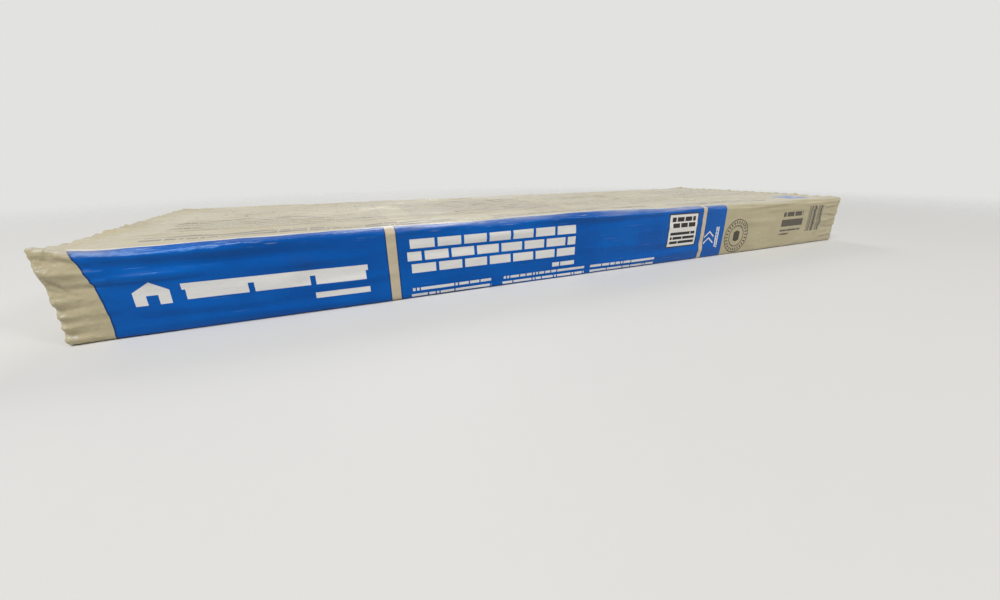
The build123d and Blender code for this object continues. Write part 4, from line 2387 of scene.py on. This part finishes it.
@dataclass(frozen=True)
class CameraRig:
    """The photograph's viewpoint, from the bundle's lower left front corner."""

    from_corner: Triple = (205.2, -379.7, 130.5)
    yaw: float = 23.25
    pitch: float = 19.61
    roll: float = -0.63
    focal_share: float = 0.3766
    sensor: float = 36.0
    nearest: float = 0.01

    def build(self, size: BundleSize) -> bpy.types.Object:
        """Make the camera and make it the scene's own.

        Args:
            size: The bundle's sizes.

        Returns:
            The camera object.
        """
        data = bpy.data.cameras.new("photo_view")
        data.sensor_width = self.sensor
        data.lens = self.sensor * self.focal_share
        data.clip_start = self.nearest
        camera = bpy.data.objects.new("photo_view", data)
        bpy.context.scene.collection.objects.link(camera)
        yaw, pitch, roll = (math.radians(angle) for angle in (self.yaw, self.pitch, self.roll))
        forward = Vector((math.sin(yaw) * math.cos(pitch), math.cos(yaw) * math.cos(pitch), -math.sin(pitch)))
        level_right = Vector((math.cos(yaw), -math.sin(yaw), 0.0))
        level_up = level_right.cross(forward)
        right = math.cos(roll) * level_right + math.sin(roll) * level_up
        up = math.cos(roll) * level_up - math.sin(roll) * level_right
        turn = Matrix((right, up, -forward)).transposed()
        corner = Vector((-size.half_length, -size.half_width, 0.0))
        camera.matrix_world = Matrix.Translation((corner + Vector(self.from_corner)) * MM) @ turn.to_4x4()
        bpy.context.scene.camera = camera
        return camera


@dataclass(frozen=True)
class SoftLamp:
    """One large soft lamp, aimed at the bundle."""

    name: str
    place: Triple
    width: float
    power: float
    tint: Triple = (1.0, 1.0, 1.0)

    def build(self) -> bpy.types.Object:
        """Make the lamp, facing the middle of the bundle.

        Returns:
            The lamp object.
        """
        data = bpy.data.lights.new(self.name, "AREA")
        data.shape = "DISK"
        data.size = self.width
        data.energy = self.power
        data.color = self.tint
        lamp = bpy.data.objects.new(self.name, data)
        lamp.location = self.place
        lamp.rotation_mode = "QUATERNION"
        lamp.rotation_quaternion = (-Vector(self.place)).to_track_quat("-Z", "Y")
        bpy.context.scene.collection.objects.link(lamp)
        return lamp


@dataclass(frozen=True)
class Studio:
    """Pale floor, soft lamps and an even world."""

    lamps: tuple[SoftLamp, ...] = (
        SoftLamp("main_lamp", (-1.8, -1.55, 3.5), 2.5, 162.0),
        SoftLamp("front_lamp", (2.1, -2.5, 1.9), 0.7, 30.0),
        SoftLamp("back_lamp", (0.4, 2.8, 2.2), 1.6, 28.0),
    )
    ambient: float = 0.15
    ambient_colour: Colour = (1.0, 1.0, 1.0, 1.0)
    background: Colour = ink(226, 226, 224)
    floor_radius: float = 3.6
    floor_corners: int = 96

    def build(self, mottle: Mottle) -> None:
        """Make the world, the lamps and the floor.

        Args:
            mottle: Group for uneven patches.
        """
        scene = bpy.context.scene
        scene.view_settings.view_transform = "Standard"
        world = bpy.data.worlds.new("studio_world")
        scene.world = world
        world.use_nodes = True
        world.node_tree.nodes.clear()
        canvas = Canvas(world.node_tree)
        rays = canvas.node("ShaderNodeLightPath")
        seen = Channel(canvas, rays.outputs["Is Camera Ray"])
        for kind in ("Is Glossy Ray", "Is Transmission Ray"):
            seen |= Channel(canvas, rays.outputs[kind])
        even = canvas.node("ShaderNodeBackground", {"Color": self.ambient_colour, "Strength": self.ambient})
        shown = canvas.node("ShaderNodeBackground", {"Color": self.background, "Strength": 1.0})
        mixed = canvas.node("ShaderNodeMixShader", {"Fac": seen})
        canvas.feed(mixed.inputs[1], even.outputs[0])
        canvas.feed(mixed.inputs[2], shown.outputs[0])
        canvas.node("ShaderNodeOutputWorld", {"Surface": mixed.outputs[0]})
        for lamp in self.lamps:
            lamp.build()
        steps = np.linspace(0, FULL_TURN, self.floor_corners, endpoint=False)
        radius = self.floor_radius
        rim = [(radius * math.cos(turn), radius * math.sin(turn), 0.0) for turn in steps]
        mesh = bpy.data.meshes.new("studio_floor")
        mesh.from_pydata(rim, [], [tuple(range(self.floor_corners))])
        mesh.materials.append(FloorFinish().build(mottle))
        floor = bpy.data.objects.new("studio_floor", mesh)
        bpy.context.scene.collection.objects.link(floor)


# The bundle's pieces


@dataclass(frozen=True)
class Wrapper:
    """The printed film round the stack."""

    size: BundleSize
    pitch: MeshPitch = MeshPitch()
    plan: EndPlan = EndPlan()

    def build(self, finish: bpy.types.Material) -> bpy.types.Object:
        """Make the film and set it in its node's place.

        Args:
            finish: Material of the film.

        Returns:
            The film's object.
        """
        film = FilmSheet(self.size, self.pitch, self.plan).build("printed_wrapper")
        film.data.materials.append(finish)
        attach(film, "root")
        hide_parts("wrapper")
        return film


@dataclass(frozen=True)
class ShingleStack:
    """The stack of strips that the film closes in."""

    node: str = "shingles"

    def dress(self, finish: bpy.types.Material) -> bpy.types.Object:
        """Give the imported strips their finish.

        Args:
            finish: Material of the strips.

        Returns:
            The node's object.
        """
        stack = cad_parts[self.node]
        stack.data.materials.clear()
        stack.data.materials.append(finish)
        return stack


def main() -> None:
    """Build the camera, the studio and each piece in order."""
    logging.basicConfig(level=logging.INFO, format="%(name)s: %(message)s")
    size = BundleSize.from_frame()
    CameraRig().build(size)
    mottle, speckle, dust, rows = Mottle(), Speckle(), Dust(), TextBlock()
    Studio().build(mottle)
    wrapper = Wrapper(size).build(PrintedFilm(size).build(mottle, speckle, dust, rows))
    LOG.info("wrapper made as %s", wrapper.name)
    stack = ShingleStack().dress(GranuleFinish().build(mottle, speckle, dust))
    LOG.info("stack dressed as %s", stack.name)


if __name__ == "__main__":
    main()
